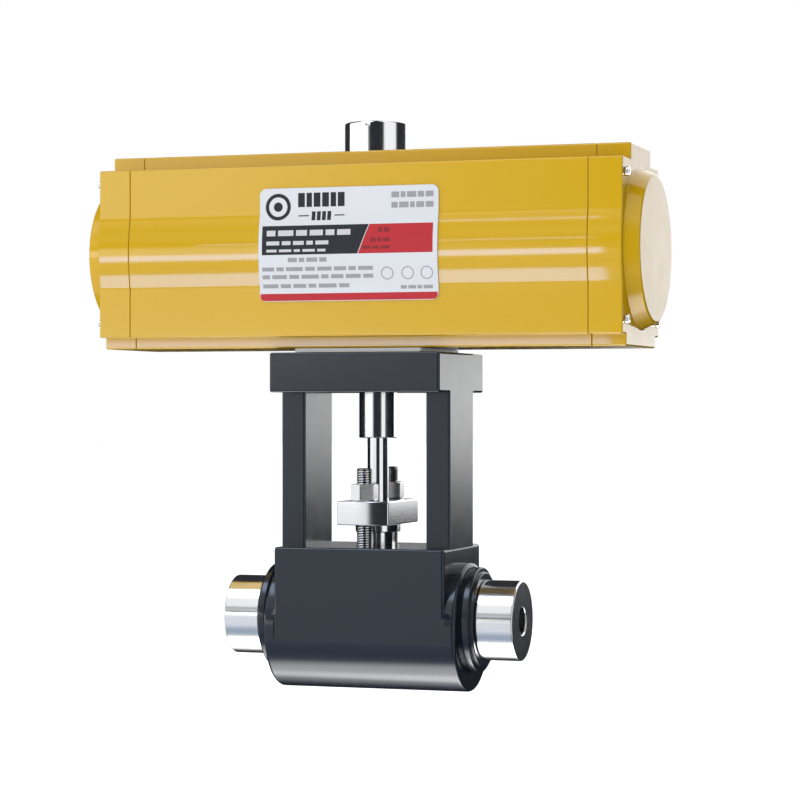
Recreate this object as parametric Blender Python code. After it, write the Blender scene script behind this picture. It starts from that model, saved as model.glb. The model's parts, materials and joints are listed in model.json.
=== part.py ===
"""High-pressure ball valve with an integral yoke and a rotary pneumatic actuator on top.

The origin is where the pipe axis crosses the stem axis. +X runs along the pipe and
along the actuator's cylinder, +Z runs up the stem, and the nameplate faces -Y.
Sizes below are in millimetres; MM turns them into Blender's metres.
"""

from math import acos, asin, cos, pi, radians, sin, sqrt, tan

import bmesh
import bpy
from mathutils import Vector

MM = 0.001
GAP = 0.3                       # left between pieces that touch
CUT = 1.0                       # how far a cutter runs past a face
RUNNING_CLEARANCE = 0.05        # radial, between a shaft and its bearing
FACETS_LARGE = 32
FACETS_MEDIUM = 20
FACETS_SMALL = 10

# ---------------------------------------------------------------- driving sizes

# Yoke and valve body
PLATE_TOP = 192.7
PLATE_HALF_X = 64.0
PLATE_HALF_Y = 55.4
PLATE_THICKNESS = 28.6
LEG_THICKNESS = 18.1
LEG_HALF_Y = 29.7
BLOCK_HALF_X = 64.3
BLOCK_HALF_Y = 45.4
BLOCK_TOP = 52.5
HUB_RADIUS = 46.6
HUB_CENTRE_Z = -5.7
HUB_HALF_X = 72.2
RING_RADIUS = 34.2
RING_HALF_X = 81.8

# Pipe stubs, seats and ball
STUB_END_X = 109.6
STUB_RADIUS = 29.0
PIPE_BORE_RADIUS = 10.0
SOCKET_RADIUS = 26.0
SOCKET_FLOOR_X = 30.0
CAVITY_RADIUS = 22.0
BALL_RADIUS = 18.0
SEAT_RADIUS = 21.5
SEAT_INNER_X = 12.9
SEAT_OUTER_X = 22.0

# Stem, packing and gland
STEM_RADIUS = 7.84
STEM_SQUARE_HALF = 5.4
STEM_TOP = 164.0
STEM_SHOULDER_RADIUS = 10.6
STEM_SHOULDER_Z = (19.0, 24.5)
TANG_HALF_X = 7.0
TANG_HALF_Y = 3.0
TANG_BOTTOM = 11.5
STEM_POCKET_TOP = 26.0
PACKING_RADIUS = 12.8
PACKING_FLOOR = 30.0
PACKING_RING_HEIGHT = 5.2
PACKING_COUNT = 3
SLEEVE_RADIUS = 12.4
COLLAR_RADIUS = 16.7
COLLAR_BOTTOM = 62.6
FLANGE_BOTTOM = 68.4
FLANGE_TOP = 85.8
FLANGE_HALF_X = 19.6
FLANGE_HALF_Y = 37.8
STUD_SPACING_HALF = 30.5
STUD_RADIUS = 6.0
STUD_BOTTOM = 34.0
STUD_TOP = 109.5
NUT_CORNER_RADIUS = 10.2
NUT_TOP = 98.3

# Drive coupling between the stem and the pinion
COUPLING_RADIUS = 13.8
COUPLING_BOTTOM = 131.1
COUPLING_SHOULDER = 194.0
COUPLING_TOP = 212.0
DRIVE_SQUARE_HALF = 8.5
BUSHING_OUTER_RADIUS = 17.5

# Actuator cross-section, measured from the cylinder axis
AXIS_Z = 265.4
FACE_HALF_DEPTH = 57.6
FACE_HALF_HEIGHT = 61.2
BULGE_HALF_HEIGHT = 26.0
BULGE_RISE = 3.1
TOP_RAIL_HALF_DEPTH = 31.6
TOP_RAIL_HEIGHT = 72.8
BASE_RAIL_HALF_DEPTH = 46.5
BASE_RAIL_DEPTH = 69.4
CYLINDER_RADIUS = 50.0
SEAM_X = 171.9
CAP_FACE_X = 196.3
BOSS_BASE_RADIUS = 57.4
BOSS_FACE_RADIUS = 52.3
BOSS_HEIGHT = 11.1
CAP_RECESS_X = 198.0
GASKET_THICKNESS = 1.0
GASKET_POCKET = 1.3
GASKET_HALF_Y = 54.5
GASKET_HALF_Z = 58.0
CAP_SCREW_Y = 49.4
CAP_SCREW_Z = 50.9
CAP_SCREW_RADIUS = 2.0
CAP_SCREW_HEAD_RADIUS = 3.5
CAP_SCREW_HEAD_HEIGHT = 2.8
CAP_SCREW_REACH = 24.0

# Pinion and racks
MODULE = 2.5
TEETH = 14
PRESSURE_ANGLE = radians(20)
BACKLASH = 0.3
GEAR_TIP_RADIUS = 19.75
GEAR_ROOT_RADIUS = 14.2
GEAR_HALF_HEIGHT = 20.5
RACK_ADDENDUM = 2.0
RACK_DEDENDUM = 3.5
RACK_BACK = 40.0
RACK_HALF_HEIGHT = 20.0
RACK_END_X = -40.0
PINION_TOP = 360.6
PINION_TOP_RADIUS = 24.2
PINION_JOURNAL_RADIUS = 20.0
TOP_SHOULDER = 46.0             # above the cylinder axis
TOP_BEARING_RADIUS = 27.5
BASE_BEARING_RADIUS = 24.0
SNAP_GROOVE_RADIUS = 22.9
CAM_Z = (24.0, 32.0)            # above the cylinder axis
CAM_RING_RADIUS = 25.5
CAM_ARM_LENGTH = 36.0
CAM_ARM_HALF_WIDTH = 5.0
STOP_SCREW_X = 31.5
STOP_SCREW_RADIUS = 4.0
STOP_NUT_CORNER_RADIUS = 7.5
STOP_NUT_HEIGHT = 6.0
STOP_SPOT_FACE_RADIUS = 9.0

# Pistons and springs
PISTON_INNER_X = 62.0
PISTON_OUTER_X = 88.0
PISTON_RADIUS = 49.4
GUIDE_RING_X = (66.0, 74.0)
O_RING_X = (79.0, 83.0)
GROOVE_RADIUS = 46.0
SPRING_RADIUS = 34.0
SPRING_WIRE_RADIUS = 2.8
SPRING_TURNS = 5
SPRING_STEPS = 14
SPRING_SIDES = 5
SEAL_SIDES = 6

# Air connection pad on the back, with its two ports
PAD_HALF_X = 26.0
PAD_HALF_Z = 17.0
PAD_FACE_Y = 62.5
PORT_X = 12.0
PORT_RADIUS = 5.7
PORT_SCREW_X = 16.0
PORT_SCREW_Z = 12.0
PORT_SCREW_RADIUS = 2.1
PORT_SCREW_DEPTH = 9.0
PORT_BLIND_DEPTH = 8.0
GALLERY_Y = 51.0
GALLERY_Z = -30.0
GALLERY_RADIUS = 3.0
FEED_Y = 54.0
FEED_RADIUS = 1.8

# Nameplate, spacer and mounting screws
PLATE_LABEL_X = (-69.8, 64.4)
PLATE_LABEL_Z = (229.1, 310.1)
LABEL_CORNER_RADIUS = 5.0
LABEL_THICKNESS = 0.8
SPACER_HALF_X = 47.3
SPACER_HALF_Y = 46.5
MOUNT_SCREW_XY = 36.06
MOUNT_SCREW_RADIUS = 4.0
MOUNT_HEAD_RADIUS = 6.5
MOUNT_HEAD_HEIGHT = 8.0
MOUNT_COUNTERBORE_RADIUS = 7.5
MOUNT_COUNTERBORE_DEPTH = 11.0
MOUNT_SCREW_REACH = 11.0

# ---------------------------------------------------------------- worked-out sizes

PLATE_BOTTOM = PLATE_TOP - PLATE_THICKNESS
LEG_INNER_X = PLATE_HALF_X - LEG_THICKNESS
BODY_BOTTOM = AXIS_Z - BASE_RAIL_DEPTH
BODY_TOP = AXIS_Z + TOP_RAIL_HEIGHT
PITCH_RADIUS = MODULE * TEETH / 2
BASE_CIRCLE_RADIUS = PITCH_RADIUS * cos(PRESSURE_ANGLE)
TOOTH_PITCH = pi * MODULE


# ---------------------------------------------------------------- scene and materials

def clear_scene():
    for obj in list(bpy.data.objects):
        bpy.data.objects.remove(obj, do_unlink=True)


def make_material(name, colour, metallic, roughness):
    mat = bpy.data.materials.new(name)
    mat.use_nodes = True
    shader = mat.node_tree.nodes["Principled BSDF"]
    shader.inputs["Base Color"].default_value = (*colour, 1.0)
    shader.inputs["Metallic"].default_value = metallic
    shader.inputs["Roughness"].default_value = roughness
    mat.diffuse_color = (*colour, 1.0)
    return mat


def make_materials():
    finishes = {
        "yellow_paint": ((0.66, 0.40, 0.01), 0.0, 0.18),
        "gunmetal_paint": ((0.035, 0.043, 0.055), 0.3, 0.35),
        "polished_steel": ((0.75, 0.76, 0.78), 1.0, 0.08),
        "machined_steel": ((0.55, 0.56, 0.58), 1.0, 0.3),
        "spring_steel": ((0.28, 0.29, 0.32), 1.0, 0.35),
        "cast_aluminium": ((0.60, 0.61, 0.62), 1.0, 0.45),
        "black_rubber": ((0.02, 0.02, 0.02), 0.0, 0.6),
        "white_ptfe": ((0.82, 0.82, 0.80), 0.0, 0.4),
        "bearing_polymer": ((0.12, 0.12, 0.13), 0.0, 0.45),
        "spacer_grey": ((0.45, 0.46, 0.47), 0.0, 0.5),
        "nameplate": ((0.82, 0.82, 0.82), 0.0, 0.3),
    }
    return {name: make_material(name, *finish) for name, finish in finishes.items()}


# ---------------------------------------------------------------- shape helpers

def on_axis(axis, a, b, along):
    """A point from two cross-section coordinates and one along the axis, in metres."""
    places = {"X": (along, a, b), "Y": (a, along, b), "Z": (a, b, along)}
    return Vector(places[axis]) * MM


def add_object(name, bm, mat):
    bmesh.ops.recalc_face_normals(bm, faces=bm.faces)
    mesh = bpy.data.meshes.new(name)
    bm.to_mesh(mesh)
    bm.free()
    mesh.shade_smooth()
    mesh.set_sharp_from_angle(angle=radians(30))
    obj = bpy.data.objects.new(name, mesh)
    if mat:
        mesh.materials.append(mat)
    bpy.context.scene.collection.objects.link(obj)
    return obj


def turned(name, outline, axis, facets, mat=None, centre=(0, 0)):
    """Turn (radius, height) points round an axis; an outline off the axis makes a ring."""
    bm = bmesh.new()
    rings = []
    for radius, along in outline:
        count = facets if radius > 0 else 1
        angles = [2 * pi * (i + 0.5) / facets for i in range(count)]
        rings.append([bm.verts.new(on_axis(axis, centre[0] + radius * cos(t),
                                           centre[1] + radius * sin(t), along))
                      for t in angles])
    pairs = list(zip(rings, rings[1:]))
    if outline[0][0] > 0:
        pairs.append((rings[-1], rings[0]))
    for lower, upper in pairs:
        for i in range(facets):
            j = (i + 1) % facets
            corners = [lower[i % len(lower)], lower[j % len(lower)],
                       upper[j % len(upper)], upper[i % len(upper)]]
            bm.faces.new(list(dict.fromkeys(corners)))
    return add_object(name, bm, mat)


def prism(name, outline, axis, low, high, mat=None):
    """Extrude a flat outline along an axis."""
    bm = bmesh.new()
    ends = [[bm.verts.new(on_axis(axis, a, b, along)) for a, b in outline]
            for along in (low, high)]
    for loop in ends:
        bm.faces.new(loop)
    count = len(outline)
    for i in range(count):
        j = (i + 1) % count
        bm.faces.new((ends[0][i], ends[0][j], ends[1][j], ends[1][i]))
    return add_object(name, bm, mat)


def block(name, x, y, z, mat=None):
    outline = [(x[0], y[0]), (x[1], y[0]), (x[1], y[1]), (x[0], y[1])]
    return prism(name, outline, "Z", z[0], z[1], mat)


def running_bore(shaft_radius, facets):
    """Corner radius of a faceted hole in which a shaft of this radius can turn."""
    return (shaft_radius + RUNNING_CLEARANCE) / cos(pi / facets)


def circle(radius, facets, centre=(0, 0), start=0.5):
    return [(centre[0] + radius * cos(2 * pi * (i + start) / facets),
             centre[1] + radius * sin(2 * pi * (i + start) / facets))
            for i in range(facets)]


def rod(name, axis, centre, radius, low, high, facets, mat=None):
    return prism(name, circle(radius, facets, centre), axis, low, high, mat)


def disc_ring(name, axis, inner, outer, low, high, facets, mat, centre=(0, 0)):
    outline = [(inner, low), (outer, low), (outer, high), (inner, high)]
    return turned(name, outline, axis, facets, mat, centre)


def rounded_rectangle(x, z, radius, steps=4):
    points = []
    corners = [(x[1], z[1], 0), (x[0], z[1], 90), (x[0], z[0], 180), (x[1], z[0], 270)]
    for cx, cz, start in corners:
        inward_x = cx - radius if cx == x[1] else cx + radius
        inward_z = cz - radius if cz == z[1] else cz + radius
        for i in range(steps + 1):
            t = radians(start + 90 * i / steps)
            points.append((inward_x + radius * cos(t), inward_z + radius * sin(t)))
    return points


def combine(target, tools, operation):
    for tool in tools:
        change = target.modifiers.new(tool.name, "BOOLEAN")
        change.operation = operation
        change.solver = "EXACT"
        change.object = tool
        tool.hide_render = True
        tool.display_type = "WIRE"
    return target


def cut(target, *tools):
    return combine(target, tools, "DIFFERENCE")


def fuse(target, *tools):
    return combine(target, tools, "UNION")


# ---------------------------------------------------------------- actuator housing

def section_outline(offset=0.0):
    """Cross-section of the housing as (y, z): flat faces, a round bulge, and two rails."""
    depth = FACE_HALF_DEPTH + offset
    radius = (BULGE_HALF_HEIGHT ** 2 + BULGE_RISE ** 2) / (2 * BULGE_RISE) + offset
    centre = depth + BULGE_RISE - radius
    reach = acos((depth - centre) / radius)
    steps = 8
    bulge = [(centre + radius * cos(t), radius * sin(t))
             for t in (reach * (2 * i / steps - 1) for i in range(steps + 1))]
    side = [(BASE_RAIL_HALF_DEPTH, -BASE_RAIL_DEPTH),
            (BASE_RAIL_HALF_DEPTH, -FACE_HALF_HEIGHT),
            (depth, -FACE_HALF_HEIGHT)]
    side += bulge
    side += [(depth, FACE_HALF_HEIGHT),
             (TOP_RAIL_HALF_DEPTH, FACE_HALF_HEIGHT),
             (TOP_RAIL_HALF_DEPTH, TOP_RAIL_HEIGHT)]
    other = [(-y, z) for y, z in reversed(side)]
    return [(y, AXIS_Z + z) for y, z in side + other]


def make_body(mats):
    body = prism("actuator_body", section_outline(), "X",
                 -SEAM_X + GAP / 2, SEAM_X - GAP / 2, mats["yellow_paint"])
    pad = block("cutter_pad", (-PAD_HALF_X, PAD_HALF_X), (CYLINDER_RADIUS + 4, PAD_FACE_Y),
                (AXIS_Z - PAD_HALF_Z, AXIS_Z + PAD_HALF_Z))
    fuse(body, pad)
    past = SEAM_X + CUT
    bore = rod("cutter_cylinder", "X", (0, AXIS_Z), CYLINDER_RADIUS, -past, past, FACETS_LARGE)
    gallery = rod("cutter_gallery", "X", (GALLERY_Y, AXIS_Z + GALLERY_Z), GALLERY_RADIUS,
                  -past, past, FACETS_SMALL)
    top_hole = turned("cutter_top_hole", [
        (0, AXIS_Z), (TOP_BEARING_RADIUS + GAP, AXIS_Z),
        (TOP_BEARING_RADIUS + GAP, BODY_TOP - 4.2), (TOP_BEARING_RADIUS + 3, BODY_TOP - 4.2),
        (TOP_BEARING_RADIUS + 3, BODY_TOP + CUT), (0, BODY_TOP + CUT)], "Z", FACETS_MEDIUM)
    base_hole = rod("cutter_base_hole", "Z", (0, 0), BASE_BEARING_RADIUS + GAP,
                    BODY_BOTTOM - CUT, AXIS_Z, FACETS_MEDIUM)
    cutters = [bore, gallery, top_hole, base_hole]
    cutters.append(rod("cutter_port_inner", "Y", (PORT_X, AXIS_Z), PORT_RADIUS,
                       0, PAD_FACE_Y + CUT, FACETS_SMALL))
    cutters.append(rod("cutter_port_outer", "Y", (-PORT_X, AXIS_Z), PORT_RADIUS,
                       PAD_FACE_Y - PORT_BLIND_DEPTH, PAD_FACE_Y + CUT, FACETS_SMALL))
    cutters.append(rod("cutter_feed", "Z", (-PORT_X, FEED_Y), FEED_RADIUS,
                       AXIS_Z + GALLERY_Z, AXIS_Z, FACETS_SMALL))
    for sx in (-1, 1):
        for sz in (-1, 1):
            cutters.append(rod(f"cutter_port_screw_{sx}_{sz}", "Y",
                               (sx * PORT_SCREW_X, AXIS_Z + sz * PORT_SCREW_Z),
                               PORT_SCREW_RADIUS, PAD_FACE_Y - PORT_SCREW_DEPTH,
                               PAD_FACE_Y + CUT, 8))
        cutters.append(rod(f"cutter_stop_{sx}", "Y",
                           (sx * STOP_SCREW_X, AXIS_Z + sum(CAM_Z) / 2),
                           STOP_SCREW_RADIUS + GAP, 0, FACE_HALF_DEPTH + CUT, FACETS_SMALL))
        cutters.append(rod(f"cutter_stop_spot_face_{sx}", "Y",
                           (sx * STOP_SCREW_X, AXIS_Z + sum(CAM_Z) / 2),
                           STOP_SPOT_FACE_RADIUS, FACE_HALF_DEPTH,
                           FACE_HALF_DEPTH + BULGE_RISE + CUT, FACETS_SMALL))
        for sy in (-1, 1):
            cutters.append(rod(f"cutter_mount_{sx}_{sy}", "Z",
                               (sx * MOUNT_SCREW_XY, sy * MOUNT_SCREW_XY),
                               MOUNT_SCREW_RADIUS + GAP, BODY_BOTTOM - CUT,
                               BODY_BOTTOM + MOUNT_SCREW_REACH + 1, FACETS_SMALL))
    for y, z in cap_screw_places():
        cutters.append(rod(f"cutter_body_thread_{y:.0f}_{z:.0f}", "X", (y, z),
                           CAP_SCREW_RADIUS + GAP, -past, past, FACETS_SMALL))
    return cut(body, *cutters)


def cap_screw_places():
    return [(sy * CAP_SCREW_Y, AXIS_Z + sz * CAP_SCREW_Z) for sy in (-1, 1) for sz in (-1, 1)]


def make_end_cap(side, sign, mats):
    def span(a, b):
        return (min(sign * a, sign * b), max(sign * a, sign * b))

    cap = prism(f"end_cap_{side}", section_outline(), "X",
                *span(SEAM_X + GAP / 2, CAP_FACE_X), mats["yellow_paint"])
    boss = turned(f"cutter_boss_{side}", [
        (0, sign * (CAP_FACE_X - 3)), (BOSS_BASE_RADIUS, sign * (CAP_FACE_X - 3)),
        (BOSS_BASE_RADIUS, sign * CAP_FACE_X),
        (BOSS_FACE_RADIUS, sign * (CAP_FACE_X + BOSS_HEIGHT)),
        (0, sign * (CAP_FACE_X + BOSS_HEIGHT))], "X", FACETS_LARGE, centre=(0, AXIS_Z))
    fuse(cap, boss)
    recess = rod(f"cutter_recess_{side}", "X", (0, AXIS_Z), CYLINDER_RADIUS - 2,
                 *span(SEAM_X - CUT, CAP_RECESS_X), FACETS_LARGE)
    pocket_outline = rounded_rectangle((-GASKET_HALF_Y - GAP, GASKET_HALF_Y + GAP),
                                       (AXIS_Z - GASKET_HALF_Z - GAP,
                                        AXIS_Z + GASKET_HALF_Z + GAP), 8)
    pocket = prism(f"cutter_gasket_pocket_{side}", pocket_outline, "X",
                   *span(SEAM_X - CUT, SEAM_X + GAP / 2 + GASKET_POCKET))
    slot = block(f"cutter_air_slot_{side}", span(SEAM_X - CUT, SEAM_X + 6),
                 (GALLERY_Y - 16, GALLERY_Y + 2),
                 (AXIS_Z + GALLERY_Z - 2, AXIS_Z + GALLERY_Z + 2))
    cutters = [recess, pocket, slot]
    for y, z in cap_screw_places():
        cutters.append(rod(f"cutter_cap_hole_{side}_{y:.0f}_{z:.0f}", "X", (y, z),
                           CAP_SCREW_RADIUS + GAP, *span(SEAM_X - CUT, CAP_FACE_X + CUT),
                           FACETS_SMALL))
        cutters.append(rod(f"cutter_cap_seat_{side}_{y:.0f}_{z:.0f}", "X", (y, z),
                           CAP_SCREW_HEAD_RADIUS + 2 * GAP,
                           *span(CAP_FACE_X, CAP_FACE_X + BOSS_HEIGHT + CUT), FACETS_SMALL))
    cut(cap, *cutters)

    gasket = prism(f"end_cap_gasket_{side}", rounded_rectangle(
        (-GASKET_HALF_Y, GASKET_HALF_Y),
        (AXIS_Z - GASKET_HALF_Z, AXIS_Z + GASKET_HALF_Z), 8), "X",
        *span(SEAM_X + GAP / 2, SEAM_X + GAP / 2 + GASKET_THICKNESS), mats["black_rubber"])
    holes = [rod(f"cutter_gasket_bore_{side}", "X", (0, AXIS_Z), CYLINDER_RADIUS,
                 *span(SEAM_X - CUT, SEAM_X + 3), FACETS_LARGE),
             rod(f"cutter_gasket_gallery_{side}", "X", (GALLERY_Y, AXIS_Z + GALLERY_Z),
                 GALLERY_RADIUS, *span(SEAM_X - CUT, SEAM_X + 3), FACETS_SMALL)]
    for y, z in cap_screw_places():
        holes.append(rod(f"cutter_gasket_hole_{side}_{y:.0f}_{z:.0f}", "X", (y, z),
                         CAP_SCREW_RADIUS + GAP, *span(SEAM_X - CUT, SEAM_X + 3),
                         FACETS_SMALL))
    cut(gasket, *holes)
    names = ("front_lower", "front_upper", "back_lower", "back_upper")
    for name, place in zip(names, cap_screw_places()):
        make_cap_screw(f"end_cap_screw_{side}_{name}", sign, place, mats)


def make_cap_screw(name, sign, place, mats):
    """A socket-head screw whose head stands on the end cap's flat face."""
    head = CAP_FACE_X + GAP
    top = head + CAP_SCREW_HEAD_HEIGHT
    socket = 1.4
    outline = [(0, SEAM_X - CAP_SCREW_REACH), (CAP_SCREW_RADIUS, SEAM_X - CAP_SCREW_REACH),
               (CAP_SCREW_RADIUS, head), (CAP_SCREW_HEAD_RADIUS, head),
               (CAP_SCREW_HEAD_RADIUS, top - 0.4), (CAP_SCREW_HEAD_RADIUS - 0.4, top),
               (socket, top), (socket, top - 1.6), (0, top - 1.6)]
    turned(name, [(r, sign * x) for r, x in outline], "X", FACETS_SMALL,
           mats["polished_steel"], place)


# ---------------------------------------------------------------- pinion, cam and bearings

def gear_outline():
    """Involute teeth, with one tooth centred on -Y and so another on +Y."""
    half_tooth = (pi / 2 - BACKLASH / MODULE / 2) / TEETH
    pitch_roll = tan(PRESSURE_ANGLE) - PRESSURE_ANGLE
    flank = [(GEAR_ROOT_RADIUS, half_tooth + pitch_roll)]
    steps = 4
    for i in range(steps + 1):
        radius = BASE_CIRCLE_RADIUS + (GEAR_TIP_RADIUS - BASE_CIRCLE_RADIUS) * i / steps
        angle = acos(BASE_CIRCLE_RADIUS / radius)
        flank.append((radius, half_tooth + pitch_roll - (tan(angle) - angle)))
    outline = []
    for tooth in range(TEETH):
        centre = -pi / 2 + 2 * pi * tooth / TEETH
        for radius, half in flank:
            outline.append((radius * cos(centre - half), radius * sin(centre - half)))
        for radius, half in reversed(flank):
            outline.append((radius * cos(centre + half), radius * sin(centre + half)))
    return outline


def make_pinion(mats):
    """Chromed head, cam journal, teeth and base journal, as one shaft."""
    gear_low, gear_high = AXIS_Z - GEAR_HALF_HEIGHT, AXIS_Z + GEAR_HALF_HEIGHT
    groove_low, groove_high = BODY_TOP - 2.6, BODY_TOP - 0.5
    base = BODY_BOTTOM + 0.5
    upper = turned("pinion_shaft", [
        (0, gear_high - 1), (GEAR_ROOT_RADIUS - 1, gear_high - 1),
        (GEAR_ROOT_RADIUS - 1, gear_high), (PINION_JOURNAL_RADIUS, gear_high),
        (PINION_JOURNAL_RADIUS, AXIS_Z + TOP_SHOULDER),
        (PINION_TOP_RADIUS, AXIS_Z + TOP_SHOULDER), (PINION_TOP_RADIUS, groove_low),
        (SNAP_GROOVE_RADIUS, groove_low), (SNAP_GROOVE_RADIUS, groove_high),
        (PINION_TOP_RADIUS, groove_high), (PINION_TOP_RADIUS, PINION_TOP - 1.2),
        (PINION_TOP_RADIUS - 1.2, PINION_TOP), (0, PINION_TOP)],
        "Z", FACETS_MEDIUM, mats["polished_steel"])
    gear = prism("cutter_gear", gear_outline(), "Z", gear_low, gear_high + 0.5)
    lower = rod("cutter_lower_journal", "Z", (0, 0), PINION_JOURNAL_RADIUS, base,
                gear_low + 0.5, FACETS_MEDIUM)
    fuse(upper, gear, lower)
    half = DRIVE_SQUARE_HALF + GAP
    socket = block("cutter_socket", (-half, half), (-half, half),
                   (base - CUT, COUPLING_TOP + 1))
    slot = block("cutter_slot", (-2.0, 2.0), (-2 * PINION_TOP_RADIUS, 2 * PINION_TOP_RADIUS),
                 (PINION_TOP - 4.0, PINION_TOP + CUT))
    tapped = rod("cutter_indicator_hole", "Z", (0, 0), 2.7, PINION_TOP - 14, PINION_TOP + CUT,
                 FACETS_SMALL)
    return cut(upper, socket, slot, tapped)


def make_shaft_rings(mats):
    disc_ring("pinion_bearing_upper", "Z",
              running_bore(PINION_TOP_RADIUS, FACETS_MEDIUM), TOP_BEARING_RADIUS,
              AXIS_Z + CYLINDER_RADIUS, BODY_TOP - 4.5, FACETS_MEDIUM, mats["bearing_polymer"])
    disc_ring("pinion_bearing_lower", "Z",
              running_bore(PINION_JOURNAL_RADIUS, FACETS_MEDIUM), BASE_BEARING_RADIUS,
              BODY_BOTTOM + 0.5, AXIS_Z - CYLINDER_RADIUS, FACETS_MEDIUM,
              mats["bearing_polymer"])
    disc_ring("pinion_thrust_washer", "Z",
              running_bore(PINION_TOP_RADIUS, FACETS_MEDIUM), TOP_BEARING_RADIUS + 2.5,
              BODY_TOP - 4.0, BODY_TOP - 2.6, FACETS_MEDIUM, mats["machined_steel"])
    disc_ring("pinion_snap_ring", "Z", SNAP_GROOVE_RADIUS + 0.1, TOP_BEARING_RADIUS,
              BODY_TOP - 2.3, BODY_TOP - 0.8, FACETS_MEDIUM, mats["spring_steel"])


def make_stop_cam(mats):
    """A ring with two arms: one meets a stop screw at rest, the other after a quarter turn."""
    low, high = AXIS_Z + CAM_Z[0], AXIS_Z + CAM_Z[1]
    cam = disc_ring("stop_cam", "Z", PINION_JOURNAL_RADIUS + GAP, CAM_RING_RADIUS, low, high,
                    FACETS_MEDIUM, mats["machined_steel"])
    w = CAM_ARM_HALF_WIDTH
    root = (PINION_JOURNAL_RADIUS + CAM_RING_RADIUS) / 2 + 1
    arm_rest = block("cutter_cam_arm_rest", (-CAM_ARM_LENGTH, -root), (-w, w), (low, high))
    arm_turned = block("cutter_cam_arm_turned", (-w, w), (-CAM_ARM_LENGTH, -root), (low, high))
    fuse(cam, arm_rest, arm_turned)


def make_travel_stops(mats):
    """Two adjusting screws through the back wall, each with its lock nut."""
    z = AXIS_Z + sum(CAM_Z) / 2
    tip = CAM_ARM_HALF_WIDTH + GAP
    for side, sign in (("left", -1), ("right", 1)):
        x = sign * STOP_SCREW_X
        end = FACE_HALF_DEPTH + 12.0
        turned(f"travel_stop_screw_{side}", [
            (0, tip), (STOP_SCREW_RADIUS, tip), (STOP_SCREW_RADIUS, end - 0.6),
            (STOP_SCREW_RADIUS - 0.6, end), (0, end)], "Y", FACETS_SMALL,
            mats["machined_steel"], (x, z))
        nut = prism(f"travel_stop_nut_{side}", circle(STOP_NUT_CORNER_RADIUS, 6, (x, z), 0),
                    "Y", FACE_HALF_DEPTH + GAP, FACE_HALF_DEPTH + GAP + STOP_NUT_HEIGHT,
                    mats["machined_steel"])
        cut(nut, rod(f"cutter_stop_nut_{side}", "Y", (x, z), STOP_SCREW_RADIUS + 0.2,
                     FACE_HALF_DEPTH - CUT, FACE_HALF_DEPTH + STOP_NUT_HEIGHT + 2,
                     FACETS_SMALL))


# ---------------------------------------------------------------- pistons and springs

def rack_outline(sign):
    """Rack arm seen from above as (x, y), for the piston whose head is on +X."""
    half_pitch = TOOTH_PITCH / 4 - BACKLASH / 2
    slope = tan(PRESSURE_ANGLE)
    tip = (half_pitch - RACK_ADDENDUM * slope, PITCH_RADIUS - RACK_ADDENDUM)
    root = (half_pitch + RACK_DEDENDUM * slope, PITCH_RADIUS + RACK_DEDENDUM)
    outline = [(RACK_END_X, -root[1])]
    for k in range(-5, 3):
        centre = (k + 0.5) * TOOTH_PITCH
        outline += [(centre - root[0], -root[1]), (centre - tip[0], -tip[1]),
                    (centre + tip[0], -tip[1]), (centre + root[0], -root[1])]
    outline += [(PISTON_INNER_X + 2, -root[1]), (PISTON_INNER_X + 2, -RACK_BACK),
                (RACK_END_X, -RACK_BACK)]
    return [(sign * x, sign * y) for x, y in outline]


def piston_head_outline():
    outline = [(0, PISTON_INNER_X), (PISTON_RADIUS, PISTON_INNER_X)]
    for low, high in (GUIDE_RING_X, O_RING_X):
        outline += [(PISTON_RADIUS, low), (GROOVE_RADIUS, low),
                    (GROOVE_RADIUS, high), (PISTON_RADIUS, high)]
    outline += [(PISTON_RADIUS, PISTON_OUTER_X), (SPRING_RADIUS + 6, PISTON_OUTER_X),
                (SPRING_RADIUS + 6, PISTON_OUTER_X - 4), (0, PISTON_OUTER_X - 4)]
    return outline


def make_piston(side, sign, mats):
    head = turned(f"piston_{side}", [(r, sign * x) for r, x in piston_head_outline()], "X",
                  FACETS_LARGE, mats["cast_aluminium"], (0, AXIS_Z))
    arm = prism(f"cutter_rack_{side}", rack_outline(sign), "Z",
                AXIS_Z - RACK_HALF_HEIGHT, AXIS_Z + RACK_HALF_HEIGHT)
    fuse(head, arm)
    ring = CYLINDER_RADIUS - 0.15
    disc_ring(f"piston_guide_ring_{side}", "X", GROOVE_RADIUS + GAP, ring,
              sign * (GUIDE_RING_X[0] + GAP), sign * (GUIDE_RING_X[1] - GAP), FACETS_LARGE,
              mats["white_ptfe"], (0, AXIS_Z))
    middle = sum(O_RING_X) / 2
    cord = (ring - GROOVE_RADIUS - GAP) / 2
    centre = ring - cord
    section = [(centre + cord * cos(t), sign * (middle + cord * sin(t)))
               for t in (2 * pi * i / SEAL_SIDES for i in range(SEAL_SIDES))]
    turned(f"piston_seal_{side}", section, "X", FACETS_LARGE, mats["black_rubber"],
           (0, AXIS_Z))


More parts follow.
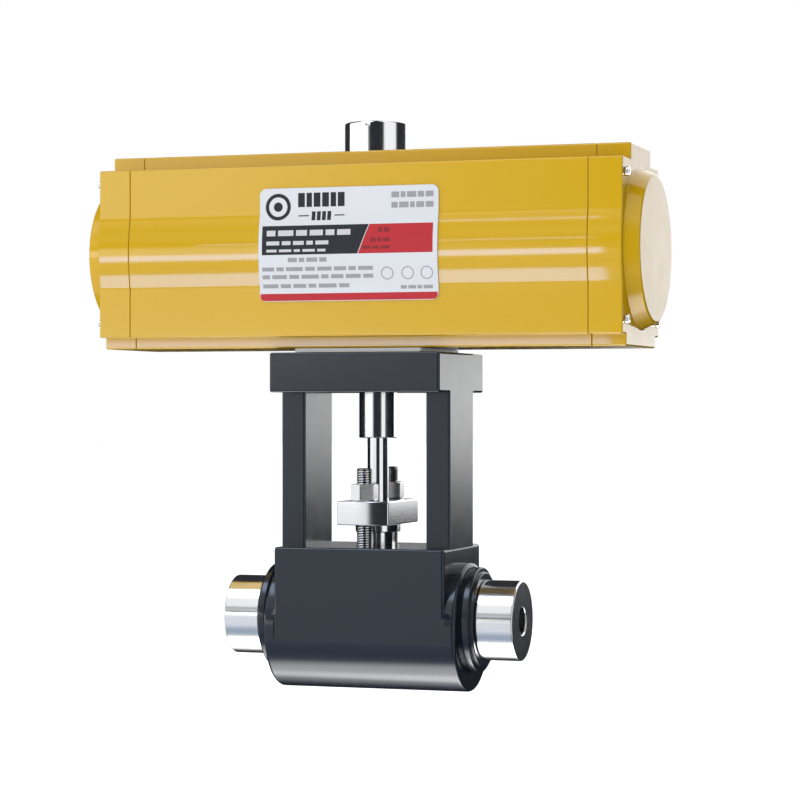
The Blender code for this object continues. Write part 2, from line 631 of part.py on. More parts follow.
def make_spring(side, sign, mats):
    """A round-wire helix between the piston and the end cap."""
    low = PISTON_OUTER_X - 4 + GAP + SPRING_WIRE_RADIUS
    high = CAP_RECESS_X - GAP - SPRING_WIRE_RADIUS
    steps = SPRING_TURNS * SPRING_STEPS
    bm = bmesh.new()
    loops = []
    for i in range(steps + 1):
        turn = 2 * pi * i / SPRING_STEPS
        x = low + (high - low) * i / steps
        loop = []
        for k in range(SPRING_SIDES):
            t = 2 * pi * k / SPRING_SIDES
            radius = SPRING_RADIUS + SPRING_WIRE_RADIUS * cos(t)
            loop.append(bm.verts.new(on_axis(
                "X", radius * cos(turn), AXIS_Z + radius * sin(turn),
                sign * (x + SPRING_WIRE_RADIUS * sin(t)))))
        loops.append(loop)
    for a, b in zip(loops, loops[1:]):
        for k in range(SPRING_SIDES):
            m = (k + 1) % SPRING_SIDES
            bm.faces.new((a[k], a[m], b[m], b[k]))
    bm.faces.new(loops[0])
    bm.faces.new(loops[-1])
    add_object(f"return_spring_{side}", bm, mats["spring_steel"])


# ---------------------------------------------------------------- nameplate and mounting

def make_nameplate(mats):
    """A thin plate that follows the front face and its bulge."""
    plate = prism("nameplate", rounded_rectangle(PLATE_LABEL_X, PLATE_LABEL_Z,
                                                 LABEL_CORNER_RADIUS), "Y",
                  -FACE_HALF_DEPTH - BULGE_RISE - 5, -FACE_HALF_DEPTH + 5, mats["nameplate"])
    outer = prism("cutter_nameplate_outer", section_outline(LABEL_THICKNESS + GAP), "X",
                  -SEAM_X, SEAM_X)
    inner = prism("cutter_nameplate_inner", section_outline(GAP), "X", -SEAM_X, SEAM_X)
    combine(plate, [outer], "INTERSECT")
    return cut(plate, inner)


def make_mounting(mats):
    half_x, half_y = SPACER_HALF_X, SPACER_HALF_Y
    spacer = block("mounting_spacer", (-half_x, half_x), (-half_y, half_y),
                   (PLATE_TOP + GAP, BODY_BOTTOM - GAP), mats["spacer_grey"])
    cutters = [rod("cutter_spacer_hole", "Z", (0, 0), BUSHING_OUTER_RADIUS + 2,
                   PLATE_TOP - CUT, BODY_BOTTOM + CUT, FACETS_MEDIUM)]
    screw_top = BODY_BOTTOM + MOUNT_SCREW_REACH
    seat = PLATE_BOTTOM + MOUNT_COUNTERBORE_DEPTH
    places = {"front_left": (-1, -1), "front_right": (1, -1),
              "back_left": (-1, 1), "back_right": (1, 1)}
    for name, (sx, sy) in places.items():
        place = (sx * MOUNT_SCREW_XY, sy * MOUNT_SCREW_XY)
        cutters.append(rod(f"cutter_spacer_{name}", "Z", place, MOUNT_SCREW_RADIUS + GAP,
                           PLATE_TOP - CUT, BODY_BOTTOM + CUT, FACETS_SMALL))
        head = seat - GAP
        turned(f"mounting_screw_{name}", [
            (0, head - MOUNT_HEAD_HEIGHT + 3.5), (3.0, head - MOUNT_HEAD_HEIGHT + 3.5),
            (3.0, head - MOUNT_HEAD_HEIGHT), (MOUNT_HEAD_RADIUS, head - MOUNT_HEAD_HEIGHT),
            (MOUNT_HEAD_RADIUS, head), (MOUNT_SCREW_RADIUS, head),
            (MOUNT_SCREW_RADIUS, screw_top), (0, screw_top)], "Z", FACETS_SMALL,
            mats["machined_steel"], place)
    cut(spacer, *cutters)


# ---------------------------------------------------------------- valve body and pipe stubs

def make_valve_body(mats):
    """One forging: yoke plate, two legs, valve block, and the round hub round the pipe."""
    body = block("valve_body", (-BLOCK_HALF_X, BLOCK_HALF_X), (-BLOCK_HALF_Y, BLOCK_HALF_Y),
                 (HUB_CENTRE_Z, BLOCK_TOP), mats["gunmetal_paint"])
    solids = [rod("cutter_hub", "X", (0, HUB_CENTRE_Z), HUB_RADIUS, -HUB_HALF_X, HUB_HALF_X,
                  FACETS_LARGE),
              rod("cutter_ring", "X", (0, 0), RING_RADIUS, -RING_HALF_X, RING_HALF_X,
                  FACETS_LARGE)]
    for sign in (-1, 1):
        x = sorted((sign * LEG_INNER_X, sign * PLATE_HALF_X))
        solids.append(block(f"cutter_leg_{sign}", x, (-LEG_HALF_Y, LEG_HALF_Y),
                            (BLOCK_TOP - 5, PLATE_BOTTOM + 5)))
    solids.append(block("cutter_plate", (-PLATE_HALF_X, PLATE_HALF_X),
                        (-PLATE_HALF_Y, PLATE_HALF_Y), (PLATE_BOTTOM, PLATE_TOP)))
    fuse(body, *solids)
    past = RING_HALF_X + CUT
    cutters = [rod("cutter_cavity", "X", (0, 0), CAVITY_RADIUS, -past, past, FACETS_LARGE),
               rod("cutter_stem_pocket", "Z", (0, 0), STEM_SHOULDER_RADIUS + GAP, 10,
                   STEM_POCKET_TOP, FACETS_MEDIUM),
               rod("cutter_stem_hole", "Z", (0, 0), STEM_RADIUS + GAP, 10, BLOCK_TOP + CUT,
                   FACETS_MEDIUM),
               rod("cutter_packing_box", "Z", (0, 0), PACKING_RADIUS, PACKING_FLOOR,
                   BLOCK_TOP + CUT, FACETS_MEDIUM),
               rod("cutter_plate_hole", "Z", (0, 0), BUSHING_OUTER_RADIUS + GAP,
                   PLATE_BOTTOM - CUT, PLATE_TOP + CUT, FACETS_MEDIUM)]
    for sign in (-1, 1):
        span = sorted((sign * SOCKET_FLOOR_X, sign * past))
        cutters.append(rod(f"cutter_socket_{sign}", "X", (0, 0), SOCKET_RADIUS, *span,
                           FACETS_LARGE))
        cutters.append(rod(f"cutter_stud_hole_{sign}", "Z", (0, sign * STUD_SPACING_HALF),
                           STUD_RADIUS + GAP, STUD_BOTTOM - 1, BLOCK_TOP + CUT,
                           FACETS_SMALL))
        for other in (-1, 1):
            place = (sign * MOUNT_SCREW_XY, other * MOUNT_SCREW_XY)
            cutters.append(rod(f"cutter_plate_screw_{sign}_{other}", "Z", place,
                               MOUNT_SCREW_RADIUS + GAP, PLATE_BOTTOM - CUT,
                               PLATE_TOP + CUT, FACETS_SMALL))
            cutters.append(rod(f"cutter_counterbore_{sign}_{other}", "Z", place,
                               MOUNT_COUNTERBORE_RADIUS, PLATE_BOTTOM - CUT,
                               PLATE_BOTTOM + MOUNT_COUNTERBORE_DEPTH, FACETS_MEDIUM))
    return cut(body, *cutters)


def make_stub(side, sign, mats):
    """A bored pipe stub whose spigot holds the seat and its spring against the ball."""
    spigot = SOCKET_RADIUS - GAP
    collar = RING_HALF_X + GAP
    start = SOCKET_FLOOR_X + GAP
    outline = [(PIPE_BORE_RADIUS, start), (spigot, start), (spigot, collar),
               (STUB_RADIUS - 0.5, collar), (STUB_RADIUS, collar + 0.5),
               (STUB_RADIUS, STUB_END_X - 1), (STUB_RADIUS - 1, STUB_END_X),
               (PIPE_BORE_RADIUS + 1, STUB_END_X), (PIPE_BORE_RADIUS, STUB_END_X - 1)]
    turned(f"pipe_stub_{side}", [(r, sign * x) for r, x in outline], "X", FACETS_LARGE,
           mats["polished_steel"])


def make_seat(side, sign, mats):
    inner = PIPE_BORE_RADIUS + 0.3
    outline = [(inner, 15.5), (SEAT_INNER_X + 0.1, SEAT_INNER_X), (SEAT_RADIUS, SEAT_INNER_X),
               (SEAT_RADIUS, SEAT_OUTER_X), (inner, SEAT_OUTER_X)]
    turned(f"seat_{side}", [(r, sign * x) for r, x in outline], "X", FACETS_MEDIUM,
           mats["white_ptfe"])
    low, high = SEAT_OUTER_X + GAP, SOCKET_FLOOR_X
    thickness = 2.2
    dish = [(PIPE_BORE_RADIUS + 2, high - thickness), (SEAT_RADIUS - 1, low),
            (SEAT_RADIUS - 1, low + thickness), (PIPE_BORE_RADIUS + 2, high)]
    turned(f"seat_spring_{side}", [(r, sign * x) for r, x in dish], "X", FACETS_MEDIUM,
           mats["spring_steel"])


def make_ball(mats):
    """Closed at rest: its bore lies across the pipe. A slot on top takes the stem's tang."""
    rows = 10
    flat = sqrt(BALL_RADIUS ** 2 - (PIPE_BORE_RADIUS + 1) ** 2)
    start = asin(flat / BALL_RADIUS)
    outline = [(PIPE_BORE_RADIUS, -flat)]
    for i in range(rows + 1):
        t = -start + 2 * start * i / rows
        outline.append((BALL_RADIUS * cos(t), BALL_RADIUS * sin(t)))
    outline.append((PIPE_BORE_RADIUS, flat))
    ball = turned("ball", outline, "Y", FACETS_MEDIUM, mats["polished_steel"])
    half_x, half_y = TANG_HALF_X + GAP, TANG_HALF_Y + GAP
    slot = block("cutter_ball_slot", (-half_x, half_x), (-half_y, half_y),
                 (TANG_BOTTOM - GAP, BALL_RADIUS + CUT))
    return cut(ball, slot)


# ---------------------------------------------------------------- stem, packing and gland

def make_stem(mats):
    """Tang in the ball, shoulder under the body, polished shank, and a square at the top."""
    low, high = STEM_SHOULDER_Z
    shank_top = COUPLING_BOTTOM + 8.0
    stem = turned("valve_stem", [
        (0, low), (STEM_SHOULDER_RADIUS, low), (STEM_SHOULDER_RADIUS, high),
        (STEM_RADIUS, high), (STEM_RADIUS, shank_top), (0, shank_top)], "Z",
        FACETS_MEDIUM, mats["polished_steel"])
    tang = block("cutter_tang", (-TANG_HALF_X, TANG_HALF_X), (-TANG_HALF_Y, TANG_HALF_Y),
                 (TANG_BOTTOM, low + 1))
    half = STEM_SQUARE_HALF
    square = block("cutter_stem_square", (-half, half), (-half, half),
                   (shank_top - 1, STEM_TOP))
    fuse(stem, tang, square)
    disc_ring("stem_thrust_washer", "Z", STEM_RADIUS + GAP, STEM_SHOULDER_RADIUS,
              high + GAP, STEM_POCKET_TOP - GAP, FACETS_MEDIUM, mats["white_ptfe"])


def make_packing(mats):
    for i in range(PACKING_COUNT):
        low = PACKING_FLOOR + GAP + i * (PACKING_RING_HEIGHT + GAP)
        disc_ring(f"packing_ring_{i + 1}", "Z", STEM_RADIUS + GAP, PACKING_RADIUS - GAP,
                  low, low + PACKING_RING_HEIGHT, FACETS_MEDIUM, mats["white_ptfe"])
    return PACKING_FLOOR + PACKING_COUNT * (PACKING_RING_HEIGHT + GAP) + GAP


def make_gland(packing_top, mats):
    inner = STEM_RADIUS + GAP
    turned("gland_follower", [
        (inner, packing_top), (SLEEVE_RADIUS, packing_top), (SLEEVE_RADIUS, COLLAR_BOTTOM),
        (COLLAR_RADIUS, COLLAR_BOTTOM), (COLLAR_RADIUS, FLANGE_BOTTOM - GAP),
        (inner, FLANGE_BOTTOM - GAP)], "Z", FACETS_MEDIUM, mats["polished_steel"])
    flange = prism("gland_flange", flange_outline(), "Z", FLANGE_BOTTOM, FLANGE_TOP,
                   mats["polished_steel"])
    cutters = [rod("cutter_flange_bore", "Z", (0, 0), inner, FLANGE_BOTTOM - CUT,
                   FLANGE_TOP + CUT, FACETS_MEDIUM)]
    for side, sign in (("front", -1), ("back", 1)):
        place = (0, sign * STUD_SPACING_HALF)
        cutters.append(rod(f"cutter_flange_{side}", "Z", place, STUD_RADIUS + GAP,
                           FLANGE_BOTTOM - CUT, FLANGE_TOP + CUT, FACETS_SMALL))
        turned(f"gland_stud_{side}", [
            (0, STUD_BOTTOM), (STUD_RADIUS, STUD_BOTTOM), (STUD_RADIUS, STUD_TOP - 1),
            (STUD_RADIUS - 1, STUD_TOP), (0, STUD_TOP)], "Z", FACETS_SMALL,
            mats["polished_steel"], place)
        nut = prism(f"gland_nut_{side}", circle(NUT_CORNER_RADIUS, 6, place), "Z",
                    FLANGE_TOP + GAP, NUT_TOP, mats["polished_steel"])
        cut(nut, rod(f"cutter_nut_{side}", "Z", place, STUD_RADIUS + GAP,
                     FLANGE_TOP - CUT, NUT_TOP + CUT, FACETS_SMALL))
    cut(flange, *cutters)


def flange_outline():
    """Straight sides, and a shallow arc across the front and the back."""
    rise = 2.5
    radius = (FLANGE_HALF_X ** 2 + rise ** 2) / (2 * rise)
    reach = asin(FLANGE_HALF_X / radius)
    steps = 6
    end = [(radius * sin(t), FLANGE_HALF_Y - radius + radius * cos(t))
           for t in (reach * (1 - 2 * i / steps) for i in range(steps + 1))]
    return end + [(-x, -y) for x, y in end]


def make_coupling(mats):
    """Carries the pinion's turn down to the stem, with a square at each end."""
    coupling = rod("drive_coupling", "Z", (0, 0), COUPLING_RADIUS, COUPLING_BOTTOM,
                   COUPLING_SHOULDER, FACETS_MEDIUM, mats["polished_steel"])
    half = DRIVE_SQUARE_HALF
    head = block("cutter_drive_square", (-half, half), (-half, half),
                 (COUPLING_SHOULDER - 1, COUPLING_TOP))
    fuse(coupling, head)
    entry = rod("cutter_coupling_entry", "Z", (0, 0), STEM_RADIUS + GAP,
                COUPLING_BOTTOM - CUT, COUPLING_BOTTOM + 8.5, FACETS_MEDIUM)
    square = STEM_SQUARE_HALF + GAP
    socket = block("cutter_coupling_socket", (-square, square), (-square, square),
                   (COUPLING_BOTTOM, STEM_TOP + 1))
    cut(coupling, entry, socket)
    disc_ring("yoke_bushing", "Z",
              running_bore(COUPLING_RADIUS, FACETS_MEDIUM), BUSHING_OUTER_RADIUS,
              PLATE_BOTTOM + 0.5, PLATE_TOP - 0.5, FACETS_MEDIUM, mats["bearing_polymer"])


# ---------------------------------------------------------------- assembly

def main():
    clear_scene()
    mats = make_materials()
    make_body(mats)
    for side, sign in (("left", -1), ("right", 1)):
        make_end_cap(side, sign, mats)
        make_piston(side, sign, mats)
        make_spring(side, sign, mats)
        make_stub(side, sign, mats)
        make_seat(side, sign, mats)
    make_pinion(mats)
    make_shaft_rings(mats)
    make_stop_cam(mats)
    make_travel_stops(mats)
    make_nameplate(mats)
    make_mounting(mats)
    make_valve_body(mats)
    make_ball(mats)
    make_stem(mats)
    make_gland(make_packing(mats), mats)
    make_coupling(mats)


main()
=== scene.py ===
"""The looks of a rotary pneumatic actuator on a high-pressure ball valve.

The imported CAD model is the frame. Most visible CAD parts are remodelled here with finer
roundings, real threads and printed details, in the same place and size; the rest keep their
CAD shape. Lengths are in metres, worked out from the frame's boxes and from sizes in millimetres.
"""

import json
from math import asin, cos, pi, radians, sin, sqrt, tan

import bmesh
import bpy
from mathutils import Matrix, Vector


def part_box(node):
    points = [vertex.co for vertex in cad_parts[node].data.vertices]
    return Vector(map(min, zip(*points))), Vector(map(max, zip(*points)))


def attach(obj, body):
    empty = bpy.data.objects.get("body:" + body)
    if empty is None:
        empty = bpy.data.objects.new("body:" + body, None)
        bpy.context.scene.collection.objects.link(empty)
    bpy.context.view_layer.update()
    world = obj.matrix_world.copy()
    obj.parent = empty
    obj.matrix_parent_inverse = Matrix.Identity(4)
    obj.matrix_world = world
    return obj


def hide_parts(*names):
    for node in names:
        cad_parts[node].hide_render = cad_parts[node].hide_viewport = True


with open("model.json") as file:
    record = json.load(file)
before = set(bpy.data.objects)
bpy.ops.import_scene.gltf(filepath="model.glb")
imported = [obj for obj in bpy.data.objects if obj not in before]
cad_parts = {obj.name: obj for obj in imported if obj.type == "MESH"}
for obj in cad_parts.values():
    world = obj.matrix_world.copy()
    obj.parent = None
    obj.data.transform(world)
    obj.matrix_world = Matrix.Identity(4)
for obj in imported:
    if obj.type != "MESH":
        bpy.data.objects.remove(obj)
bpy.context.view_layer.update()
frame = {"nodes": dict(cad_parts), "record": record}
MM = 0.001

# ---------------------------------------------------------------- sizes

AXIS_Z = frame["record"]["behaviour"]["joints"][0]["pos_m"][2]
BODY_LOW, BODY_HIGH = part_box("actuator_body")
CAP_LOW, CAP_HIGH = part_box("end_cap_right")
LABEL_LOW, LABEL_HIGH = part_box("nameplate")
VALVE_LOW, VALVE_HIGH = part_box("valve_body")
STUB_LOW, STUB_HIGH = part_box("pipe_stub_right")
FLANGE_LOW, FLANGE_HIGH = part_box("gland_flange")
SHAFT_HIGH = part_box("pinion_shaft")[1]

# Actuator cross-section, measured from the cylinder axis
FACE_DEPTH = 57.6 * MM
FACE_HEIGHT = 61.2 * MM
BULGE_HALF_HEIGHT = 26.0 * MM
BULGE_RISE = 3.1 * MM
BULGE_RADIUS = (BULGE_HALF_HEIGHT ** 2 + BULGE_RISE ** 2) / (2 * BULGE_RISE)
TOP_RAIL_DEPTH = 31.6 * MM
TOP_RAIL_HEIGHT = BODY_HIGH.z - AXIS_Z
BASE_RAIL_DEPTH = 46.5 * MM
BASE_RAIL_HEIGHT = AXIS_Z - BODY_LOW.z
CYLINDER_RADIUS = 50.0 * MM
CAP_FACE_X = 196.3 * MM
CAP_RECESS_X = 198.0 * MM
BOSS_BASE_RADIUS = 57.4 * MM
BOSS_FACE_RADIUS = 52.3 * MM
PAD_HALF_X = 26.0 * MM
PAD_HALF_Z = 17.0 * MM
PORT_X = 12.0 * MM
PORT_RADIUS = 5.7 * MM
PORT_SCREW = (16.0 * MM, 12.0 * MM, 2.1 * MM)
STOP_SCREW_X = 31.5 * MM
STOP_SCREW_Z = AXIS_Z + 28.0 * MM
STOP_SCREW_RADIUS = 4.0 * MM
STOP_SPOT_FACE_RADIUS = 9.0 * MM
TOP_BEARING_RADIUS = 27.5 * MM
BASE_BEARING_RADIUS = 24.0 * MM
MOUNT_SCREW_XY = 36.06 * MM
CAP_SCREW_HEAD_RADIUS = 3.5 * MM

# Valve
PLATE_HALF_X = 64.0 * MM
PLATE_DEPTH = 55.4 * MM
PLATE_BOTTOM = 164.1 * MM
LEG_INNER_X = 45.9 * MM
LEG_OUTER_X = 64.0 * MM
LEG_DEPTH = 29.7 * MM
BLOCK_HALF_X = 64.3 * MM
BLOCK_DEPTH = 45.4 * MM
BLOCK_TOP = 52.5 * MM
HUB_CENTRE_Z = -5.7 * MM
HUB_RADIUS = HUB_CENTRE_Z - VALVE_LOW.z
HUB_END_X = 72.2 * MM
RING_RADIUS = 34.2 * MM
RING_END_X = VALVE_HIGH.x
CAVITY_RADIUS = 22.0 * MM
SOCKET_RADIUS = 26.0 * MM
SOCKET_FLOOR_X = 30.0 * MM
STUB_RADIUS = STUB_HIGH.z
PIPE_BORE_RADIUS = 10.0 * MM
STUD_Y = 30.5 * MM
STUD_RADIUS = 6.0 * MM
STUD_PITCH = 1.75 * MM
NUT_CORNER_RADIUS = 10.2 * MM
NUT_TURN = 28.0
SHAFT_RADIUS = 24.2 * MM
GAP = 0.3 * MM
SHALLOW = 0.1 * MM
WELD = 1e-6
FLAT_ANGLE = radians(0.2)
# Mesh attribute that carries the painted shade in thread roots
ROOT_SHADE = "thread_root"

# Camera and floor
CAMERA_PLACE = (0.5933, -1.7694, 0.1539)
CAMERA_TARGET = (0.01527, 0.00497, 0.15868)
CAMERA_LENS = 114.8
FLOOR_Z = -0.35
STRIP_DISTANCE = 0.2

# ---------------------------------------------------------------- mesh helpers


def along_axis(axis, a, b, length):
    """The point with (a, b) across the axis and length along it."""
    return {"X": (length, a, b), "Y": (a, length, b), "Z": (a, b, length)}[axis]


def rounded(corners, steps=6):
    """Turns (x, y, radius) corners into an outline whose corners are arcs."""
    outline = []
    for i, (x, y, radius) in enumerate(corners):
        corner = Vector((x, y))
        if radius == 0:
            outline.append(corner)
            continue
        before = (Vector(corners[i - 1][:2]) - corner).normalized()
        after = (Vector(corners[(i + 1) % len(corners)][:2]) - corner).normalized()
        half = before.angle(after) / 2
        centre = corner + (before + after).normalized() * radius / sin(half)
        start = corner + before * radius / tan(half) - centre
        end = corner + after * radius / tan(half) - centre
        outline += [centre + start.lerp(end, k / steps).normalized() * radius
                    for k in range(steps + 1)]
    return outline


def arc(centre, radius, start, end, steps):
    """Points on a circle from one angle to another, in degrees."""
    turns = [radians(start + (end - start) * k / steps) for k in range(steps + 1)]
    return [Vector((centre[0] + radius * cos(t), centre[1] + radius * sin(t))) for t in turns]


def circle(centre, radius, steps):
    return arc(centre, radius, 0, 360, steps)[:-1]


def make(name, bm):
    bmesh.ops.recalc_face_normals(bm, faces=bm.faces)
    mesh = bpy.data.meshes.new(name)
    bm.to_mesh(mesh)
    bm.free()
    piece = bpy.data.objects.new(name, mesh)
    bpy.context.scene.collection.objects.link(piece)
    return piece


def bake(piece):
    """Puts the result of the modifiers into the mesh."""
    bpy.context.view_layer.update()
    evaluated = piece.evaluated_get(bpy.context.evaluated_depsgraph_get())
    old = piece.data
    piece.data = bpy.data.meshes.new_from_object(evaluated)
    piece.modifiers.clear()
    bpy.data.meshes.remove(old)


def combine(operation, target, *pieces):
    for piece in pieces:
        modifier = target.modifiers.new("shape", "BOOLEAN")
        modifier.operation = operation
        modifier.solver = "EXACT"
        modifier.object = piece
    bake(target)
    for piece in pieces:
        bpy.data.objects.remove(piece)
    return target


def merge_flat(piece):
    """Joins neighbouring faces that lie in one plane."""
    bm = bmesh.new()
    bm.from_mesh(piece.data)
    bmesh.ops.remove_doubles(bm, verts=bm.verts, dist=WELD)
    bmesh.ops.dissolve_limit(bm, angle_limit=FLAT_ANGLE, verts=bm.verts, edges=bm.edges)
    bm.to_mesh(piece.data)
    bm.free()


def revolve(name, profile, axis, centre=(0, 0), segments=128):
    """Turns (radius, length) points round an axis; radius 0 closes an end."""
    bm = bmesh.new()
    turns = [2 * pi * k / segments for k in range(segments)]
    rings = []
    for radius, length in profile:
        if radius == 0:
            rings.append([bm.verts.new(along_axis(axis, *centre, length))])
        else:
            rings.append([bm.verts.new(along_axis(axis, centre[0] + radius * cos(t),
                                                  centre[1] + radius * sin(t), length))
                          for t in turns])
    pairs = list(zip(rings, rings[1:]))
    if len(rings[0]) > 1:
        pairs.append((rings[-1], rings[0]))
    for low, high in pairs:
        for k in range(segments):
            n = (k + 1) % segments
            corners = [low[k % len(low)], low[n % len(low)],
                       high[n % len(high)], high[k % len(high)]]
            bm.faces.new(list(dict.fromkeys(corners)))
    return make(name, bm)


def outward(outline):
    """Mitred normals that point out of a closed outline."""
    count = len(outline)
    area = sum(outline[i - 1].cross(outline[i]) for i in range(count))
    side = 1 if area > 0 else -1
    normals = []
    for i in range(count):
        before = (outline[i] - outline[i - 1]).normalized()
        after = (outline[(i + 1) % count] - outline[i]).normalized()
        mean = (before + after).normalized()
        normal = Vector((mean.y, -mean.x)) * side
        normals.append(normal / max(0.5, mean.dot(after)))
    return normals


def loft(name, outline, axis, stations):
    """Carries an outline along an axis. Each station is (length, inset)."""
    bm = bmesh.new()
    outline = [Vector(p) for p in outline]
    normals = outward(outline)
    rings = []
    for length, inset in stations:
        points = [p - n * inset for p, n in zip(outline, normals)]
        rings.append([bm.verts.new(along_axis(axis, p.x, p.y, length)) for p in points])
    for low, high in zip(rings, rings[1:]):
        for k in range(len(low)):
            n = (k + 1) % len(low)
            bm.faces.new((low[k], low[n], high[n], high[k]))
    bm.faces.new(rings[0])
    bm.faces.new(rings[-1])
    return make(name, bm)


def chamfered(low, high, width, steps=3):
    """Stations of a straight prism whose two end edges are rounded."""
    angles = [pi / 2 * k / steps for k in range(steps + 1)]
    start = [(low + width * (1 - sin(t)), width * (1 - cos(t))) for t in reversed(angles)]
    return start + [(low + high - length, inset) for length, inset in reversed(start)]


def rod(name, axis, centre, radius, low, high, segments=48):
    return revolve(name, [(0, low), (radius, low), (radius, high), (0, high)],
                   axis, centre, segments)


def box(name, low, high):
    corners = [(low[0], low[1]), (high[0], low[1]), (high[0], high[1]), (low[0], high[1])]
    return loft(name, corners, "Z", [(low[2], 0), (high[2], 0)])


def rectangle(half_x, half_y, radius, centre=(0, 0), steps=6):
    return rounded([(centre[0] + sx * half_x, centre[1] + sy * half_y, radius)
                    for sx, sy in ((-1, -1), (1, -1), (1, 1), (-1, 1))], steps)


def dress(piece, slot, body="base", stands_for=None, sharp=32):
    """Smooths, paints and places a finished piece."""
    piece.data.shade_smooth()
    piece.data.set_sharp_from_angle(angle=radians(sharp))
    weighted = piece.modifiers.new("normals", "WEIGHTED_NORMAL")
    weighted.keep_sharp = True
    bake(piece)
    piece.data.materials.clear()
    piece.data.materials.append(MATERIALS[slot])
    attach(piece, body)
    if stands_for:
        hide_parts(stands_for)
    return piece


# ---------------------------------------------------------------- materials


def node(tree, kind, inputs=None, **settings):
    """Adds a node. An input is a value, or another node's output socket."""
    made = tree.nodes.new(kind)
    for name, value in settings.items():
        setattr(made, name, value)
    for socket, value in (inputs or {}).items():
        if isinstance(value, bpy.types.NodeSocket):
            tree.links.new(value, made.inputs[socket])
        else:
            made.inputs[socket].default_value = value
    return made


def noise(tree, place, scale, detail=3.0):
    return node(tree, "ShaderNodeTexNoise",
                {"Vector": place, "Scale": scale, "Detail": detail}).outputs["Fac"]


def spread(tree, value, low, high):
    """Maps a noise value to the range low to high."""
    return node(tree, "ShaderNodeMapRange",
                {"Value": value, "From Min": 0.3, "From Max": 0.7,
                 "To Min": low, "To Max": high}).outputs["Result"]


def blended(tree, factor, first, second):
    mix = node(tree, "ShaderNodeMix", {"Factor": factor, 6: first, 7: second}, data_type="RGBA")
    return mix.outputs[2]


def tint(colour, factor):
    return tuple(min(1.0, c * factor) for c in colour) + (1.0,)


def surface(name, colour, roughness, metallic=0.0, coat=0.0, coat_roughness=0.04,
            variation=0.06, mottle=18.0, grain=900.0, grain_depth=0.00002,
            peel=0.0, stretch=(1, 1, 1), shine=0.5, unevenness=0.2, root_shade=False):
    """A principled surface with mottled colour and gloss, fine grain, orange peel, and optional
    painted shade in thread roots.
    """
    material = bpy.data.materials.new(name)
    material.use_nodes = True
    tree = material.node_tree
    tree.nodes.clear()
    place = node(tree, "ShaderNodeTexCoord").outputs["Object"]
    drawn = node(tree, "ShaderNodeMapping", {"Vector": place, "Scale": stretch}).outputs["Vector"]
    mix = node(tree, "ShaderNodeMix", {"Factor": noise(tree, place, mottle)}, data_type="RGBA")
    mix.inputs[6].default_value = tint(colour, 1 - variation)
    mix.inputs[7].default_value = tint(colour, 1 + variation)
    base = mix.outputs[2]
    # Painted shade: the base colour turns nearly black towards the thread roots, standing in for
    # the shade in the grooves
    if root_shade:
        depth = node(tree, "ShaderNodeAttribute", attribute_name=ROOT_SHADE).outputs["Fac"]
        base = blended(tree, depth, base, tint(colour, 0.06))
    rough = spread(tree, noise(tree, drawn, mottle * 5), roughness * (1 - unevenness),
                   roughness * (1 + unevenness))
    bump = node(tree, "ShaderNodeBump", {"Height": noise(tree, drawn, grain, 2.0),
                                         "Distance": grain_depth, "Strength": 0.6})
    shader = node(tree, "ShaderNodeBsdfPrincipled", {
        "Base Color": base, "Roughness": rough, "Normal": bump.outputs["Normal"],
        "Metallic": metallic, "Specular IOR Level": shine, "Coat Weight": coat,
        "Coat Roughness": coat_roughness})
    if peel:
        wave = node(tree, "ShaderNodeBump", {"Height": noise(tree, place, 260.0, 1.0),
                                             "Distance": peel, "Strength": 0.5})
        tree.links.new(wave.outputs["Normal"], shader.inputs["Coat Normal"])
    output = node(tree, "ShaderNodeOutputMaterial")
    tree.links.new(shader.outputs["BSDF"], output.inputs["Surface"])
    return material


MATERIALS = {
    "yellow_enamel": surface("yellow_enamel", (0.610, 0.372, 0.003), 0.40, coat=1.0,
                             coat_roughness=0.09, variation=0.03, mottle=9.0, peel=0.000004,
                             shine=0.03),
    "gunmetal_paint": surface("gunmetal_paint", (0.010, 0.016, 0.027), 0.16, variation=0.12,
                              mottle=14.0, grain=700.0, grain_depth=0.000012,
                              unevenness=0.10),
    "polished_steel": surface("polished_steel", (0.90, 0.90, 0.91), 0.13, metallic=1.0,
                              variation=0.02, mottle=30.0, grain=500.0, grain_depth=0.000001,
                              stretch=(1, 1, 8)),
    # Thread steel carries painted shade in its thread roots
    "thread_steel": surface("thread_steel", (0.86, 0.86, 0.87), 0.16, metallic=1.0,
                            variation=0.02, mottle=30.0, grain_depth=0.000001, root_shade=True),
    "machined_steel": surface("machined_steel", (0.45, 0.45, 0.46), 0.28, metallic=1.0,
                              variation=0.08, mottle=60.0, stretch=(1, 1, 12)),
    "spring_steel": surface("spring_steel", (0.30, 0.30, 0.32), 0.35, metallic=1.0,
                            variation=0.10, mottle=80.0),
    "cast_aluminium": surface("cast_aluminium", (0.55, 0.55, 0.56), 0.42, metallic=1.0,
                              variation=0.08, mottle=40.0, grain_depth=0.00006),
    "black_rubber": surface("black_rubber", (0.015, 0.015, 0.016), 0.62, variation=0.15,
                            mottle=50.0, grain_depth=0.00005),
    "white_ptfe": surface("white_ptfe", (0.78, 0.78, 0.76), 0.38, variation=0.03, mottle=40.0),
    "bearing_polymer": surface("bearing_polymer", (0.10, 0.09, 0.08), 0.40, variation=0.10,
                               mottle=60.0),
    "spacer_grey": surface("spacer_grey", (0.70, 0.71, 0.74), 0.38, variation=0.04, mottle=30.0,
                           grain_depth=0.00003),
    "nameplate_print": surface("nameplate_print", (0.68, 0.71, 0.76), 0.34, variation=0.025,
                               mottle=16.0, coat=0.25, coat_roughness=0.12, grain=1200.0),
}
PRINT_COLOURS = {
    "dark": (0.013, 0.017, 0.024),
    "red": (0.50, 0.012, 0.024),
    "grey": (0.33, 0.33, 0.36),
    "white": (0.60, 0.60, 0.64),
    "wine": (0.25, 0.010, 0.022),
}
PRINTS = {name: surface(f"print_{name}", colour, 0.40, variation=0.05, mottle=60.0,
                        grain=1500.0, grain_depth=0.00001)
          for name, colour in PRINT_COLOURS.items()}


